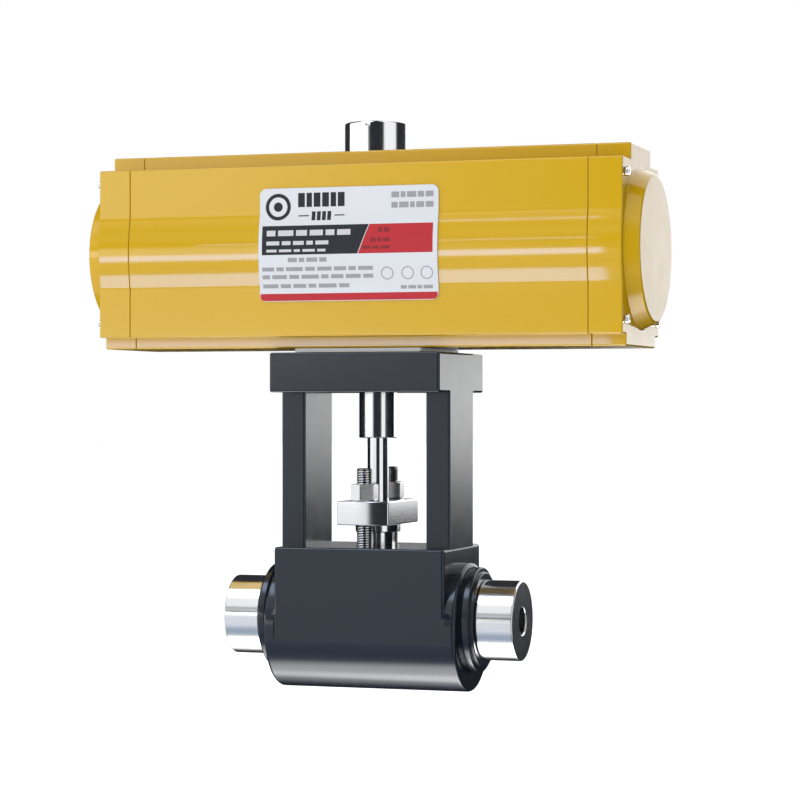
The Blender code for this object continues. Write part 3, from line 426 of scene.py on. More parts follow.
def paint_frame():
    """Gives each CAD node, shown or inside, the finish of its own material slot."""
    for part in frame["record"]["subparts"]:
        cad = frame["nodes"][part["node"]]
        cad.data.materials.clear()
        cad.data.materials.append(MATERIALS[part["material_slot"]])


# ---------------------------------------------------------------- actuator


def front_depth(z):
    """How far the front face stands from the stem axis at height z."""
    offset = z - AXIS_Z
    if abs(offset) >= BULGE_HALF_HEIGHT:
        return FACE_DEPTH
    return FACE_DEPTH + BULGE_RISE - BULGE_RADIUS + sqrt(BULGE_RADIUS ** 2 - offset ** 2)


def section():
    """Cross-section of the housing as (y, z): faces, round bulges and two rails."""
    edge, foot = 1.3 * MM, 0.8 * MM
    reach = asin(BULGE_HALF_HEIGHT / BULGE_RADIUS) * 180 / pi
    centre = FACE_DEPTH + BULGE_RISE - BULGE_RADIUS
    side = [(BASE_RAIL_DEPTH, -BASE_RAIL_HEIGHT, edge), (BASE_RAIL_DEPTH, -FACE_HEIGHT, foot),
            (FACE_DEPTH, -FACE_HEIGHT, edge)]
    side += [(p.x, p.y, 0) for p in arc((centre, 0), BULGE_RADIUS, -reach, reach, 20)]
    side += [(FACE_DEPTH, FACE_HEIGHT, edge), (TOP_RAIL_DEPTH, FACE_HEIGHT, foot),
             (TOP_RAIL_DEPTH, TOP_RAIL_HEIGHT, edge)]
    other = [(-y, z, r) for y, z, r in reversed(side)]
    return [Vector((p.x, AXIS_Z + p.y)) for p in rounded(side + other, 4)]


def make_housing():
    groove = 0.5 * MM
    half = BODY_HIGH.x
    outline = section()
    housing = loft("actuator_housing", outline, "X", [
        (-half, groove), (-half + groove * 0.3, groove * 0.45), (-half + groove, 0),
        (half - groove, 0), (half - groove * 0.3, groove * 0.45), (half, groove)])
    pad = loft("pad", rectangle(PAD_HALF_X, PAD_HALF_Z, 3 * MM, (0, AXIS_Z)), "Y",
               chamfered(CYLINDER_RADIUS + 4 * MM, BODY_HIGH.y, 0.8 * MM))
    combine("UNION", housing, pad)
    past = half + MM
    roof = BODY_HIGH.z
    holes = [rod("bore", "X", (0, AXIS_Z), CYLINDER_RADIUS, -past, past, 96),
             revolve("top_hole", [
                 (0, AXIS_Z), (TOP_BEARING_RADIUS + GAP, AXIS_Z),
                 (TOP_BEARING_RADIUS + GAP, roof - 4.2 * MM),
                 (TOP_BEARING_RADIUS + 3 * MM, roof - 4.2 * MM),
                 (TOP_BEARING_RADIUS + 3 * MM, roof - 0.6 * MM),
                 (TOP_BEARING_RADIUS + 3.8 * MM, roof + 0.2 * MM), (0, roof + 0.2 * MM)], "Z"),
             rod("base_hole", "Z", (0, 0), BASE_BEARING_RADIUS + GAP, BODY_LOW.z - MM, AXIS_Z, 96)]
    for sign in (-1, 1):
        holes.append(revolve(f"port_{sign}", [
            (0, BODY_HIGH.y - 8 * MM), (PORT_RADIUS, BODY_HIGH.y - 8 * MM),
            (PORT_RADIUS, BODY_HIGH.y - 0.8 * MM), (PORT_RADIUS + 0.9 * MM, BODY_HIGH.y + 0.1 * MM),
            (0, BODY_HIGH.y + 0.1 * MM)], "Y", (sign * PORT_X, AXIS_Z), 48))
        holes.append(rod(f"stop_{sign}", "Y", (sign * STOP_SCREW_X, STOP_SCREW_Z),
                         STOP_SCREW_RADIUS + GAP, 0, FACE_DEPTH + MM, 48))
        holes.append(rod(f"spot_face_{sign}", "Y", (sign * STOP_SCREW_X, STOP_SCREW_Z),
                         STOP_SPOT_FACE_RADIUS, FACE_DEPTH - SHALLOW, FACE_DEPTH + 5 * MM, 64))
        for other in (-1, 1):
            x, z, radius = PORT_SCREW
            holes.append(rod(f"port_screw_{sign}_{other}", "Y",
                             (sign * x, AXIS_Z + other * z), radius,
                             BODY_HIGH.y - 9 * MM, BODY_HIGH.y + MM, 32))
            holes.append(rod(f"mount_{sign}_{other}", "Z",
                             (sign * MOUNT_SCREW_XY, other * MOUNT_SCREW_XY), 4.3 * MM,
                             BODY_LOW.z - MM, BODY_LOW.z + 12 * MM, 32))
    combine("DIFFERENCE", housing, *holes)
    return dress(housing, "yellow_enamel", stands_for="actuator_body")


def make_end_cap(side, sign):
    """Same section as the housing, with a tapered round boss."""
    groove, edge = 0.5 * MM, 1.2 * MM
    inner, face = CAP_LOW.x, CAP_FACE_X
    stations = [(inner, groove), (inner + groove * 0.3, groove * 0.45), (inner + groove, 0)]
    stations += [(face - edge * (1 - sin(t)), edge * (1 - cos(t)))
                 for t in (pi / 2 * k / 4 for k in range(5))]
    cap = loft(f"end_cap_{side}_shell", section(), "X",
               [(sign * length, inset) for length, inset in stations])
    profile = rounded([(0, face - 3 * MM, 0), (BOSS_BASE_RADIUS + 0.6 * MM, face - 3 * MM, 0),
                       (BOSS_BASE_RADIUS + 0.6 * MM, face, 0),
                       (BOSS_BASE_RADIUS - 0.3 * MM, face + 0.4 * MM, 0.5 * MM),
                       (BOSS_FACE_RADIUS, CAP_HIGH.x, 2.0 * MM), (0, CAP_HIGH.x, 0)], 5)
    boss = revolve("boss", [(max(0, r), sign * x) for r, x in profile], "X", (0, AXIS_Z), 160)
    combine("UNION", cap, boss)
    recess = rod("recess", "X", (0, AXIS_Z), CYLINDER_RADIUS,
                 *sorted((sign * (inner - MM), sign * CAP_RECESS_X)), 96)
    combine("DIFFERENCE", cap, recess)
    return dress(cap, "yellow_enamel", stands_for=f"end_cap_{side}")


def make_cap_screw(node_name):
    """A low socket-head screw with a real hexagon socket."""
    low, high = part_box(node_name)
    sign = 1 if high.x > 0 else -1
    top, head_end = (high.x, CAP_FACE_X + GAP) if sign > 0 else (-low.x, CAP_FACE_X + GAP)
    tail = low.x if sign > 0 else -high.x
    centre = ((low.y + high.y) / 2, (low.z + high.z) / 2)
    head = CAP_SCREW_HEAD_RADIUS
    profile = rounded([(0, tail, 0), (2.0 * MM, tail, 0), (2.0 * MM, head_end, 0),
                       (head, head_end, 0.2 * MM), (head, top, 0.5 * MM), (0, top, 0)], 4)
    screw = revolve(f"{node_name}_fine", [(r, sign * x) for r, x in profile], "X", centre, 48)
    socket = loft("socket", circle(centre, 1.45 * MM, 6), "X",
                  [(sign * (top - 1.6 * MM), 0), (sign * (top + MM), 0)])
    combine("DIFFERENCE", screw, socket)
    return dress(screw, "polished_steel", stands_for=node_name)


def make_pinion_shaft():
    """The CAD shaft below the roof, with a finely turned head above it."""
    join = AXIS_Z + 48 * MM
    bm = bmesh.new()
    bm.from_mesh(frame["nodes"]["pinion_shaft"].data)
    bmesh.ops.remove_doubles(bm, verts=bm.verts, dist=WELD)
    cut = bmesh.ops.bisect_plane(bm, geom=bm.verts[:] + bm.edges[:] + bm.faces[:],
                                 plane_co=(0, 0, join), plane_no=(0, 0, 1), clear_outer=True)
    edges = [e for e in cut["geom_cut"] if isinstance(e, bmesh.types.BMEdge)]
    bmesh.ops.contextual_create(bm, geom=edges)
    shaft = make("pinion_shaft_fine", bm)
    roof, top = BODY_HIGH.z, SHAFT_HIGH.z
    groove, groove_low, groove_top = SHAFT_RADIUS - 1.3 * MM, roof - 2.6 * MM, roof - 0.5 * MM
    slot_half, slot_depth = 2 * MM, 4 * MM
    tap_radius, tap_depth, mouth_radius, mouth_depth = 2.7 * MM, 14 * MM, 3.6 * MM, 0.6 * MM
    past = top + 0.3 * MM
    head = revolve("head", rounded([
        (0, join - MM, 0), (SHAFT_RADIUS, join - MM, 0), (SHAFT_RADIUS, groove_low, 0),
        (groove, groove_low, 0), (groove, groove_top, 0),
        (SHAFT_RADIUS, groove_top, 0.3 * MM), (SHAFT_RADIUS, top, 1.4 * MM),
        (0, top, 0)], 5), "Z", segments=160)
    slot = box("slot", (-slot_half, -2 * SHAFT_RADIUS, top - slot_depth),
               (slot_half, 2 * SHAFT_RADIUS, top + MM))
    tapped = revolve("tapped", [
        (0, top - tap_depth), (tap_radius, top - tap_depth), (tap_radius, top - mouth_depth),
        (mouth_radius, past), (0, past)], "Z", segments=48)
    combine("DIFFERENCE", head, slot, tapped)
    combine("UNION", shaft, head)
    merge_flat(shaft)
    return dress(shaft, "polished_steel", "rotor", "pinion_shaft")


def make_stop_screws():
    """Adjusting screws on the back, each with a chamfered lock nut."""
    for side, sign in (("left", -1), ("right", 1)):
        centre = (sign * STOP_SCREW_X, STOP_SCREW_Z)
        low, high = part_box(f"travel_stop_screw_{side}")
        screw = threaded_rod(f"travel_stop_screw_{side}_fine", "Y", centre, STOP_SCREW_RADIUS,
                             1.25 * MM, low.y, high.y)
        dress(screw, "machined_steel", stands_for=f"travel_stop_screw_{side}")
        low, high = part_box(f"travel_stop_nut_{side}")
        nut = hexagon_nut(f"travel_stop_nut_{side}_fine", "Y", centre, 7.5 * MM,
                          STOP_SCREW_RADIUS + GAP * 0.7, low.y, high.y)
        dress(nut, "machined_steel", stands_for=f"travel_stop_nut_{side}")


def threaded_rod(name, axis, centre, radius, pitch, low, high, segments=40, rows=8):
    """A rod with a true helical thread, its ends chamfered by one thread depth, and a painted root
    shade value stored on each vertex.
    """
    depth = 0.55 * pitch
    chamfer = 1.2 * depth
    count = int((high - low) / pitch * rows)
    bm = bmesh.new()
    root_shade = bm.verts.layers.float.new(ROOT_SHADE)
    rings = []
    for i in range(count + 1):
        length = low + (high - low) * i / count
        limit = radius - chamfer + min(chamfer, length - low, high - length)
        ring = []
        for k in range(segments):
            phase = (length / pitch - k / segments) % 1.0
            wave = abs(2 * phase - 1)
            thread = radius - depth * min(1, max(0, 1.4 * wave - 0.35))
            reach, turn = min(thread, limit), 2 * pi * k / segments
            ring.append(bm.verts.new(along_axis(axis, centre[0] + reach * cos(turn),
                                                centre[1] + reach * sin(turn), length)))
            # Share of painted root shade for this vertex, growing towards the bottom of the groove
            ring[-1][root_shade] = max(0.0, 1.5 * (radius - reach) / depth - 0.5)
        rings.append(ring)
    for a, b in zip(rings, rings[1:]):
        for k in range(segments):
            n = (k + 1) % segments
            bm.faces.new((a[k], a[n], b[n], b[k]))
    bm.faces.new(rings[0])
    bm.faces.new(rings[-1])
    return make(name, bm)


def hexagon_nut(name, axis, centre, corner_radius, bore_radius, low, high, start=0.0):
    """A hexagon nut whose corners are cut back by a cone at each end."""
    corners = arc(centre, corner_radius, start, start + 360, 6)[:-1]
    nut = loft(name, rounded([(p.x, p.y, 0.5 * MM) for p in corners], 2), axis,
               [(low, 0), (high, 0)])
    flat = corner_radius * cos(pi / 6)
    drop = (corner_radius - flat + 0.3 * MM) * 0.62
    cone = revolve("cone", [
        (0, low - MM), (flat - 0.4 * MM, low - 0.01 * MM), (corner_radius + 0.2 * MM, low + drop),
        (corner_radius + 0.2 * MM, high - drop), (flat - 0.4 * MM, high + 0.01 * MM),
        (0, high + MM)], axis, centre, 96)
    combine("INTERSECT", nut, cone)
    sink = 0.8 * MM
    bore = revolve("nut_bore", [
        (0, low - MM), (bore_radius + sink, low - 0.1 * MM), (bore_radius, low + sink),
        (bore_radius, high - sink), (bore_radius + sink, high + 0.1 * MM), (0, high + MM)],
        axis, centre, 48)
    return combine("DIFFERENCE", nut, bore)


# ---------------------------------------------------------------- nameplate and its print


def bent_sheet(name, outlines, inner, outer):
    """Thin solids that follow the bulge, from flat (x, z) outlines."""
    bm = bmesh.new()
    for outline in outlines:
        bm.faces.new([bm.verts.new((x, 0, z)) for x, z in outline])
    steps = 26
    for k in range(steps + 1):
        level = AXIS_Z + BULGE_HALF_HEIGHT * (2 * k / steps - 1)
        bmesh.ops.bisect_plane(bm, geom=bm.verts[:] + bm.edges[:] + bm.faces[:],
                               plane_co=(0, 0, level), plane_no=(0, 0, 1), dist=1e-7)
    for vert in bm.verts:
        vert.co.y = -front_depth(vert.co.z) - inner
    grown = bmesh.ops.extrude_face_region(bm, geom=bm.faces[:], use_keep_orig=True)
    for item in grown["geom"]:
        if isinstance(item, bmesh.types.BMVert):
            item.co.y -= outer - inner
    return make(name, bm)


def on_label(x, y):
    """A place on the label, from the left and from the top, as shares of its size."""
    return (LABEL_LOW.x + (LABEL_HIGH.x - LABEL_LOW.x) * x,
            LABEL_HIGH.z - (LABEL_HIGH.z - LABEL_LOW.z) * y)


def bar(x0, x1, y0, y1):
    return [on_label(x0, y1), on_label(x1, y1), on_label(x1, y0), on_label(x0, y0)]


def dashes(x0, x1, y0, y1, widths, gap):
    """A line of small blocks in place of text."""
    total = sum(widths) + gap * (len(widths) - 1)
    blocks, x = [], x0
    for width in widths:
        step = width * (x1 - x0) / total
        blocks.append(bar(x, x + step, y0, y1))
        x += step + gap * (x1 - x0) / total
    return blocks


def ring_shape(centre, radius, width, corners, start):
    """A closed band round a regular outline, as four-sided pieces."""
    outer = arc(centre, radius, start, start + 360, corners)
    inner = arc(centre, radius - width, start, start + 360, corners)
    return [[inner[k], outer[k], outer[k + 1], inner[k + 1]] for k in range(corners)]


def label_shapes():
    """The print of the nameplate: bars and generic marks only, by colour."""
    split_top, split_low = 0.619, 0.558
    band_top, band_low = 0.333, 0.590
    dark = [[on_label(0.02, band_low), on_label(split_low, band_low),
             on_label(split_top, band_top), on_label(0.02, band_top)]]
    red = [[on_label(split_low + 0.004, band_low), on_label(0.975, band_low),
            on_label(0.975, band_top), on_label(split_top + 0.004, band_top)],
           rounded([(*on_label(x, y), corner) for x, y, corner in (
               (0.004, 0.932, 0), (0.996, 0.932, 0),
               (0.996, 0.995, 3.5 * MM), (0.004, 0.995, 3.5 * MM))], 5)]
    dark += dashes(0.218, 0.480, 0.045, 0.170, (5, 4, 5, 5, 4, 5), 1.3)
    dark += dashes(0.296, 0.405, 0.210, 0.290, (3, 3, 3, 3), 1.2)
    dark += [bar(0.220, 0.280, 0.242, 0.252), bar(0.424, 0.480, 0.242, 0.252)]
    grey = dashes(0.741, 0.973, 0.055, 0.105, (5, 3, 6, 4, 5), 1.0)
    grey += dashes(0.741, 0.973, 0.145, 0.195, (4, 6, 3, 5, 5), 1.0)
    white = dashes(0.046, 0.519, 0.374, 0.424, (4, 7, 5, 6, 4, 6), 1.2)
    white += dashes(0.046, 0.397, 0.470, 0.505, (6, 4, 5, 3, 6), 1.2)
    white += dashes(0.046, 0.381, 0.543, 0.566, (5, 6, 3, 6, 4), 1.2)
    wine = dashes(0.673, 0.735, 0.365, 0.405, (3, 4), 1.0)
    wine += dashes(0.630, 0.740, 0.455, 0.490, (4, 3, 5), 1.0)
    wine += dashes(0.585, 0.740, 0.525, 0.550, (5, 4, 6), 1.0)
    grey += dashes(0.167, 0.386, 0.618, 0.656, (5, 3, 6, 4), 1.1)
    for y, end, widths in ((0.700, 0.643, (5, 3, 7, 4, 6, 5, 3, 6)),
                           (0.768, 0.643, (3, 6, 4, 7, 3, 5, 6, 4)),
                           (0.848, 0.507, (6, 4, 5, 3, 7, 4))):
        grey += dashes(0.02, end, y, y + 0.034, widths, 1.0)
    grey += dashes(0.793, 0.969, 0.872, 0.902, (4, 5, 3, 6), 1.0)
    mark_radius, mark_width = 4.6 * MM, 0.7 * MM
    for x in (0.722, 0.835, 0.940):
        grey += ring_shape(on_label(x, 0.765), mark_radius, mark_width, 24, 0)
    emblem = on_label(0.105, 0.165)
    dark += ring_shape(emblem, 9.6 * MM, 2.6 * MM, 40, 0)
    dark.append(circle(emblem, 3.4 * MM, 24))
    return {"dark": dark, "red": red, "grey": grey, "white": white, "wine": wine}


def make_nameplate():
    """The bent sheet, and the print on it as one thin piece for each colour."""
    half_x, half_z = (LABEL_HIGH.x - LABEL_LOW.x) / 2, (LABEL_HIGH.z - LABEL_LOW.z) / 2
    centre = ((LABEL_HIGH.x + LABEL_LOW.x) / 2, (LABEL_HIGH.z + LABEL_LOW.z) / 2)
    thickness, corner, sunk = 0.8 * MM, 5 * MM, 0.05 * MM
    outline = rectangle(half_x, half_z, corner, centre, 10)
    plate = bent_sheet("nameplate_sheet", [outline], GAP, GAP + thickness)
    dress(plate, "nameplate_print", stands_for="nameplate")
    face = GAP + thickness
    for colour, outlines in label_shapes().items():
        lift = 0.05 * MM if colour in ("dark", "red") else 0.09 * MM
        ink = bent_sheet(f"nameplate_ink_{colour}", outlines, face - sunk, face + lift)
        dress(ink, "nameplate_print", stands_for="nameplate")
        ink.data.materials.clear()
        ink.data.materials.append(PRINTS[colour])


# ---------------------------------------------------------------- valve


def soft_box(name, low, high, radius):
    """A box with its twelve edges rounded."""
    centre = ((low[0] + high[0]) / 2, (low[1] + high[1]) / 2)
    outline = rectangle((high[0] - low[0]) / 2, (high[1] - low[1]) / 2, radius, centre, 4)
    return loft(name, outline, "Z", chamfered(low[2], high[2], radius * 0.9, 4))


def make_valve_body():
    """Yoke plate, two legs, block and hub as one forging with rounded edges."""
    crease = HUB_CENTRE_Z - sqrt(HUB_RADIUS ** 2 - BLOCK_DEPTH ** 2)
    block_low, overlap = crease - 2 * MM, 6 * MM
    body = loft("valve_forging", circle((0, HUB_CENTRE_Z), HUB_RADIUS, 144), "X",
                chamfered(-HUB_END_X, HUB_END_X, 2.5 * MM, 5))
    parts = [soft_box("block", (-BLOCK_HALF_X, -BLOCK_DEPTH, block_low),
                      (BLOCK_HALF_X, BLOCK_DEPTH, BLOCK_TOP), 2.2 * MM),
             soft_box("plate", (-PLATE_HALF_X, -PLATE_DEPTH, PLATE_BOTTOM),
                      (PLATE_HALF_X, PLATE_DEPTH, VALVE_HIGH.z), 1.8 * MM)]
    for sign in (-1, 1):
        x = sorted((sign * LEG_INNER_X, sign * LEG_OUTER_X))
        parts.append(soft_box(f"leg_{sign}", (x[0], -LEG_DEPTH, BLOCK_TOP - overlap),
                              (x[1], LEG_DEPTH, PLATE_BOTTOM + overlap), 1.6 * MM))
        parts.append(valve_ring(sign))
    flats = [box(f"flat_{sign}", (-BLOCK_HALF_X, min(sign * BLOCK_DEPTH, sign * 2 * BLOCK_DEPTH),
                                  block_low),
                 (BLOCK_HALF_X, max(sign * BLOCK_DEPTH, sign * 2 * BLOCK_DEPTH), BLOCK_TOP))
             for sign in (-1, 1)]
    combine("DIFFERENCE", body, *flats)
    combine("UNION", body, *parts)
    combine("DIFFERENCE", body, *valve_holes())
    return dress(body, "gunmetal_paint", stands_for="valve_body", sharp=40)


def valve_ring(sign):
    """The stepped ring round a pipe stub, with a groove between it and the hub."""
    groove, step = RING_RADIUS + 1.8 * MM, 2.2 * MM
    wide, inside_hub = RING_RADIUS + 3.8 * MM, HUB_END_X - 8 * MM
    profile = rounded([
        (0, inside_hub, 0), (groove, inside_hub, 0),
        (groove, HUB_END_X + step, 0.8 * MM), (wide, HUB_END_X + step, 0.8 * MM),
        (wide, RING_END_X - step, 1.0 * MM), (RING_RADIUS, RING_END_X - step, 0.5 * MM),
        (RING_RADIUS, RING_END_X, 0.8 * MM), (0, RING_END_X, 0)], 5)
    return revolve(f"ring_{sign}", [(max(0, r), sign * x) for r, x in profile], "X",
                   segments=144)


def valve_holes():
    """Cutters for the ball, the stem, the packing, the stubs, the studs and the screws."""
    past, under_plate, over_plate = RING_END_X + MM, PLATE_BOTTOM - MM, VALVE_HIGH.z + MM
    pocket_radius, packing_radius, bushing_radius = 11.6 * MM, 12.9 * MM, 17.8 * MM
    pocket_low, packing_low, stud_low = 10 * MM, 24 * MM, 33 * MM
    screw_radius, counterbore_radius, counterbore_depth = 4.3 * MM, 7.5 * MM, 11 * MM
    mouth_depth, mouth_growth = 0.8 * MM, 1.8 * MM
    holes = [rod("cavity", "X", (0, 0), CAVITY_RADIUS, -past, past, 96),
             rod("stem_pocket", "Z", (0, 0), pocket_radius, pocket_low, packing_low, 64),
             rod("packing_box", "Z", (0, 0), packing_radius, packing_low, BLOCK_TOP + MM, 64),
             rod("plate_hole", "Z", (0, 0), bushing_radius, under_plate, over_plate, 96)]
    for sign in (-1, 1):
        holes.append(revolve(f"socket_{sign}", [
            (0, sign * SOCKET_FLOOR_X), (SOCKET_RADIUS, sign * SOCKET_FLOOR_X),
            (SOCKET_RADIUS, sign * (RING_END_X - mouth_depth)),
            (SOCKET_RADIUS + mouth_growth, sign * past), (0, sign * past)], "X", segments=96))
        holes.append(rod(f"stud_{sign}", "Z", (0, sign * STUD_Y), STUD_RADIUS + GAP,
                         stud_low, BLOCK_TOP + MM, 48))
        for other in (-1, 1):
            centre = (sign * MOUNT_SCREW_XY, other * MOUNT_SCREW_XY)
            holes.append(rod(f"plate_screw_{sign}_{other}", "Z", centre, screw_radius,
                             under_plate, over_plate, 48))
            holes.append(rod(f"counterbore_{sign}_{other}", "Z", centre, counterbore_radius,
                             under_plate, PLATE_BOTTOM + counterbore_depth, 64))
    return holes


def make_stub(side, sign):
    """Polished stub with a chamfered bore and a chamfered outer edge."""
    low, high = STUB_LOW.x, STUB_HIGH.x
    collar = RING_END_X + GAP
    profile = rounded([
        (PIPE_BORE_RADIUS, low, 0), (SOCKET_RADIUS - GAP, low, 0),
        (SOCKET_RADIUS - GAP, collar, 0), (STUB_RADIUS, collar, 0.6 * MM),
        (STUB_RADIUS, high, 1.1 * MM), (PIPE_BORE_RADIUS, high, 1.0 * MM)], 6)
    stub = revolve(f"pipe_stub_{side}_fine", [(r, sign * x) for r, x in profile], "X",
                   segments=192)
    return dress(stub, "polished_steel", stands_for=f"pipe_stub_{side}")


def make_gland():
    """Flange, follower, threaded studs and chamfered nuts."""
    half_x, half_y = FLANGE_HIGH.x, FLANGE_HIGH.y
    rise, corner, stem_bore = 2.5 * MM, 1.2 * MM, 8.2 * MM
    radius = (half_x ** 2 + rise ** 2) / (2 * rise)
    reach = asin(half_x / radius) * 180 / pi
    end = arc((0, half_y - radius), radius, 90 - reach, 90 + reach, 16)
    corners = [(p.x, p.y, 0) for p in end] + [(-p.x, -p.y, 0) for p in end]
    corners = [(x, y, corner) if abs(abs(x) - half_x) < WELD else (x, y, r)
               for x, y, r in corners]
    flange = loft("gland_flange_fine", rounded(corners, 4), "Z",
                  chamfered(FLANGE_LOW.z, FLANGE_HIGH.z, 1.0 * MM))
    bores = [rod("flange_bore", "Z", (0, 0), stem_bore, FLANGE_LOW.z - MM,
                 FLANGE_HIGH.z + MM, 96)]
    for side, sign in (("front", -1), ("back", 1)):
        centre = (0, sign * STUD_Y)
        bores.append(rod(f"flange_{side}", "Z", centre, STUD_RADIUS + GAP,
                         FLANGE_LOW.z - MM, FLANGE_HIGH.z + MM, 64))
        low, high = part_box(f"gland_stud_{side}")
        stud = threaded_rod(f"gland_stud_{side}_fine", "Z", centre, STUD_RADIUS, STUD_PITCH,
                            low.z, high.z, 56, 10)
        dress(stud, "polished_steel", stands_for=f"gland_stud_{side}", sharp=60)
        stud.data.materials[0] = MATERIALS["thread_steel"]
        low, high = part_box(f"gland_nut_{side}")
        nut = hexagon_nut(f"gland_nut_{side}_fine", "Z", centre, NUT_CORNER_RADIUS,
                          STUD_RADIUS + GAP, low.z, high.z, NUT_TURN)
        dress(nut, "polished_steel", stands_for=f"gland_nut_{side}")
    combine("DIFFERENCE", flange, *bores)
    dress(flange, "polished_steel", stands_for="gland_flange")
    low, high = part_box("gland_follower")
    collar, sleeve, inner, shoulder = high.x, 12.4 * MM, 8.14 * MM, 62.6 * MM
    follower = revolve("gland_follower_fine", rounded([
        (inner, low.z, 0), (sleeve, low.z, 0.4 * MM), (sleeve, shoulder, 0.4 * MM),
        (collar, shoulder, 0.6 * MM), (collar, high.z, 0.6 * MM), (inner, high.z, 0)], 4), "Z")
    return dress(follower, "polished_steel", stands_for="gland_follower")


def make_coupling():
    """The drive coupling: a finely turned shell round the CAD part's square sockets."""
    low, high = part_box("drive_coupling")
    radius, shoulder, skin = 13.8 * MM, 194 * MM, 1.2 * MM
    coupling = revolve("drive_coupling_fine", rounded([
        (0, low.z, 0), (radius, low.z, 0.8 * MM), (radius, shoulder, 0.8 * MM),
        (0, shoulder, 0)], 5), "Z")
    bm = bmesh.new()
    bm.from_mesh(frame["nodes"]["drive_coupling"].data)
    bmesh.ops.remove_doubles(bm, verts=bm.verts, dist=WELD)
    inner = make("coupling_inner", bm)
    keep = rod("keep", "Z", (0, 0), radius - MM, low.z - MM, high.z + MM, 64)
    combine("INTERSECT", inner, keep)
    shell = rod("shell_bore", "Z", (0, 0), radius - skin, low.z - MM, high.z + MM, 64)
    combine("DIFFERENCE", coupling, shell)
    combine("UNION", coupling, inner)
    return dress(coupling, "polished_steel", "rotor", "drive_coupling")


# ---------------------------------------------------------------- studio


def direction_parts(tree):
    """Azimuth and elevation in degrees of a world ray, azimuth 0 towards the camera."""
    ray = node(tree, "ShaderNodeTexCoord").outputs["Generated"]
    back = (Vector(CAMERA_PLACE) - Vector(CAMERA_TARGET)).normalized()
    right = Vector((-back.y, back.x, 0)).normalized()

    def along(axis):
        return node(tree, "ShaderNodeVectorMath", {0: ray, 1: tuple(axis)},
                    operation="DOT_PRODUCT").outputs["Value"]

    def degrees_of(value):
        return node(tree, "ShaderNodeMath", {0: value, 1: 180 / pi},
                    operation="MULTIPLY").outputs["Value"]

    azimuth = node(tree, "ShaderNodeMath", {0: along(right), 1: along(back)},
                   operation="ARCTAN2").outputs["Value"]
    elevation = node(tree, "ShaderNodeMath", {0: along((0, 0, 1))},
                     operation="ARCSINE").outputs["Value"]
    return degrees_of(azimuth), degrees_of(elevation)


def profile_of(tree, value, low, high, stops):
    """A ramp over low to high degrees; each stop is (degrees, grey level or colour)."""
    share = node(tree, "ShaderNodeMapRange", {"Value": value, "From Min": low,
                                              "From Max": high}).outputs["Result"]
    ramp = node(tree, "ShaderNodeValToRGB", {"Fac": share})
    elements = ramp.color_ramp.elements
    while len(elements) > 1:
        elements.remove(elements[-1])
    for k, (place, level) in enumerate(stops):
        position = (place - low) / (high - low)
        element = elements[0] if k == 0 else elements.new(position)
        element.position = position
        rgb = level if isinstance(level, tuple) else (level, level, level)
        element.color = (*rgb, 1)
    return ramp.outputs["Color"]


def scaled(tree, colour, factor):
    return node(tree, "ShaderNodeVectorMath", {0: colour, "Scale": factor},
                operation="SCALE").outputs["Vector"]


def product(tree, a, b):
    return node(tree, "ShaderNodeVectorMath", {0: a, 1: b},
                operation="MULTIPLY").outputs["Vector"]


def total(tree, a, b):
    return node(tree, "ShaderNodeVectorMath", {0: a, 1: b}, operation="ADD").outputs["Vector"]


def window(start, end, soft=4.0):
    """Ramp stops that are 1 between two angles and 0 outside."""
    return [(start - soft, 0.0), (start, 1.0), (end, 1.0), (end + soft, 0.0)]


# What glossy surfaces see: (azimuth stops, elevation stops, scale), azimuth 0 at the camera
STUDIO = (
    # left softbox wall above a grey wall
    (window(-110, -31), [
        (-72, 0.0), (-68, 0.16), (-60, 0.16), (-50, (0.070, 0.085, 0.108)),
        (-40, (0.070, 0.085, 0.108)), (-26, (0.155, 0.164, 0.176)), (-5, (0.160, 0.166, 0.176)),
        (-2, 0.19), (0.5, 0.19), (2.2, 0.012), (10, 0.012), (12, 0.13), (16, 0.13), (20, 0.07),
        (24, 0.20),
        (74, 0.20), (80, 0.01)], 4.5),
    # pale panel that only the upright faces on the left catch
    ([(-115, 0.0), (-110, 1.0), (-43, 1.0), (-39, 0.78), (-35, 0.30), (-31, 0.03), (-28, 0.0)],
     [(0.6, 0.0), (1.8, 1.0), (6.5, 0.9), (7.5, 0.0)], 2.9),
    # cool lamp high on the left, seen in the rounded upper edges
    ([(-100, 0.0), (-82, 1.0), (-34, 1.0), (-24, 0.0)],
     [(47, 0.0), (54, (0.60, 0.74, 1.0)), (65, (0.60, 0.74, 1.0)), (70, 0.0)], 5.0),
    # right softbox
    (window(23, 64), [(-72, 0.0), (-66, 0.1), (-40, 0.1), (-30, 0.2), (75, 0.24), (80, 0.02)], 4.5),
    # bright wall behind right, above the horizon
    (window(115, 172), [(-6, 0.0), (-3.0, 0.01), (-2.6, 0.02), (-2.0, 0.15), (-1.4, 0.50),
                        (-0.6, 0.85), (0.6, 0.95), (1.8, 0.62), (80, 0.60)], 2.6),
    # low light straight behind, which only surfaces seen at a grazing angle catch
    ([(-180, 1.0), (-168, 1.0), (-160, 0.0), (160, 0.0), (168, 1.0), (180, 1.0)],
     [(0.0, 0.0), (1.0, 1.0), (8.0, 1.0), (11.0, 0.0)], 0.35),
    # bright table below, and its far side
    ([(-180, 1.0), (180, 1.0)], [(-76, 1.0), (-66, 0.7), (-59, 0.0)], 6.5),
    ([(-180, 1.0), (-130, 1.0), (-112, 0.0), (112, 0.0), (130, 1.0), (180, 1.0)],
     [(-70, 1.0), (-58, 0.6), (-46, 0.10), (-36, 0.0)], 2.6),
)
GLOSSY_FLOOR = (0.026, 0.027, 0.031)
# What matt surfaces see: open to the left and the front, dim to the right
SOFT_LIGHT = [(-180, 0.50), (-150, 0.60), (-60, 0.60), (25, 0.60), (50, 0.10), (165, 0.12),
              (180, 0.50)]
SOFT_SCALE = 2.0


